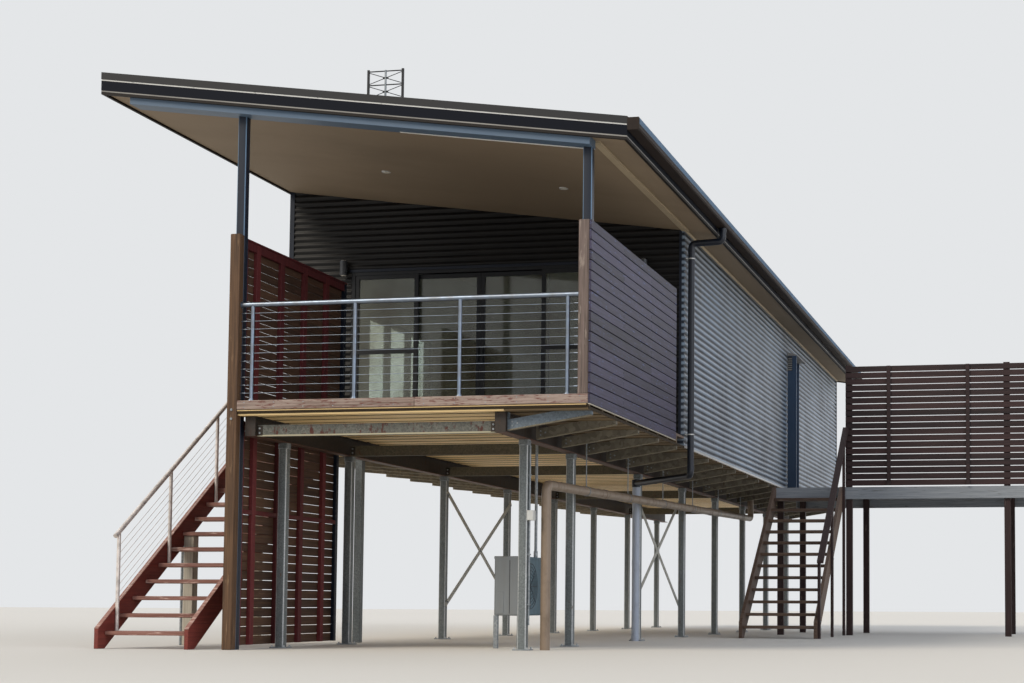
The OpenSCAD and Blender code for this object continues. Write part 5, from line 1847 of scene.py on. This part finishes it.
    def conduit(self) -> None:
        """A thin conduit with a small box on the front right post, and clips."""
        form = Form("Post_conduit_and_box")
        low, high = span("right_posts")
        x, y = (low.x + high.x) / 2 + 0.057, self.conduit_y
        form.bar((x, y, self.conduit_foot), (x, y, high.z - 0.062), 0.011, 12)
        z0, z1 = self.box_z
        form.slab((x - 0.011, y - 0.055, z0), (x + 0.055, y + 0.035, z1), 0.004, 1)
        for z in self.conduit_clips:
            form.slab((x - 0.013, y - 0.020, z), (x + 0.014, y + 0.020, z + 0.015), 0.001)
        form.place([GALVANISED_ROD, BOX_PLASTIC], "post_steel")


@dataclass
class Studio:
    """The floor, the pale world, the soft lamps and the camera at the photograph's viewing angle."""

    eye: Vector = Vector((9.4981, -15.6546, 0.4723))
    yaw: float = 0.2012
    pitch: float = 0.0652
    roll: float = 0.0043
    focal_px: float = 1720.46
    shift_px: Pair = (-200.0, 150.0)
    image_w: float = 1024.0
    sensor: float = 36.0

    def build(self) -> None:
        """Sets up the floor, world, lamps, camera and colour handling."""
        self.floor()
        self.world()
        self.lamp("Key_lamp", 1.9, 25.0, (-0.55, -0.75, 0.75), "#fff4e2")
        self.lamp("Side_lamp", 1.0, 60.0, (0.85, -0.45, 0.45), "#eef3ff")
        self.lamp("Back_lamp", 0.7, 60.0, (-0.2, 0.9, 0.6), "#eef3ff")
        self.camera()
        bpy.context.scene.view_settings.view_transform = "Standard"

    def floor(self) -> None:
        """A plain pale floor."""
        piece = bmesh.new()
        bmesh.ops.create_grid(piece, x_segments=8, y_segments=8, size=90.0)
        mesh = bpy.data.meshes.new("Studio_floor")
        piece.to_mesh(mesh)
        piece.free()
        material = bpy.data.materials.new("Studio_floor_paint")
        material.use_nodes = True
        shader = material.node_tree.nodes["Principled BSDF"]
        shader.inputs["Base Color"].default_value = linear("#d6d3cd")
        shader.inputs["Roughness"].default_value = 0.9
        mesh.materials.append(material)
        made = bpy.data.objects.new("Studio_floor", mesh)
        bpy.context.scene.collection.objects.link(made)

    def world(self) -> None:
        """Pale to the camera and in gloss and glass, and dimmer as a light on the object."""
        world = bpy.data.worlds.new("Studio_world")
        bpy.context.scene.world = world
        world.use_nodes = True
        tree = world.node_tree
        tree.nodes.clear()
        path = add(tree, "ShaderNodeLightPath").outputs
        first = add(tree, "ShaderNodeMath", {0: path["Is Camera Ray"], 1: path["Is Glossy Ray"]},
                    operation="MAXIMUM").outputs[0]
        seen = add(tree, "ShaderNodeMath", {0: first, 1: path["Is Transmission Ray"]},
                   operation="MAXIMUM").outputs[0]
        light = add(tree, "ShaderNodeBackground", {"Color": linear("#e9edf2"), "Strength": 0.5})
        pale = add(tree, "ShaderNodeBackground", {"Color": linear("#e4e6e8"), "Strength": 1.0})
        both = add(tree, "ShaderNodeMixShader", {0: seen, 1: light.outputs[0], 2: pale.outputs[0]})
        add(tree, "ShaderNodeOutputWorld", {"Surface": both.outputs[0]})

    def lamp(self, name: str, strength: float, width: float, direction: Place, colour: str) -> None:
        """A soft far lamp.

        Args:
            name: its name.
            strength: its light in watts a square metre.
            width: its width in degrees.
            direction: where it stands, seen from the object.
            colour: its colour.
        """
        light = bpy.data.lights.new(name, "SUN")
        light.energy = strength
        light.angle = math.radians(width)
        light.color = linear(colour)[:3]
        made = bpy.data.objects.new(name, light)
        made.rotation_euler = Vector(direction).to_track_quat("Z", "Y").to_euler()
        bpy.context.scene.collection.objects.link(made)

    def camera(self) -> None:
        """The camera, from its eye, turns and focal length in pixels."""
        forward = Vector((-math.sin(self.yaw) * math.cos(self.pitch),
                          math.cos(self.yaw) * math.cos(self.pitch), math.sin(self.pitch)))
        level = Vector((math.cos(self.yaw), math.sin(self.yaw), 0.0))
        upward = level.cross(forward)
        right = level * math.cos(self.roll) + upward * math.sin(self.roll)
        up = upward * math.cos(self.roll) - level * math.sin(self.roll)
        turn = Matrix((right, up, -forward)).transposed().to_4x4()
        data = bpy.data.cameras.new("Camera")
        data.sensor_width = self.sensor
        data.lens = self.focal_px / self.image_w * self.sensor
        data.shift_x = self.shift_px[0] / self.image_w
        data.shift_y = self.shift_px[1] / self.image_w
        data.clip_end = 400.0
        made = bpy.data.objects.new("Camera", data)
        made.matrix_world = Matrix.Translation(self.eye + ORIGIN) @ turn
        bpy.context.scene.collection.objects.link(made)
        bpy.context.scene.camera = made


def main() -> None:
    """Builds the studio and each part of the house in turn."""
    logging.basicConfig(level=logging.INFO, format="%(name)s %(message)s")
    for part in (Studio(), Roof(), Walls(), Openings(), Deck(), Railings(), Screens(), Underframe(),
                 FrontStair(), SideAccess(), Services()):
        part.build()
        LOG.info("built %s", type(part).__name__)


if __name__ == "__main__":
    main()
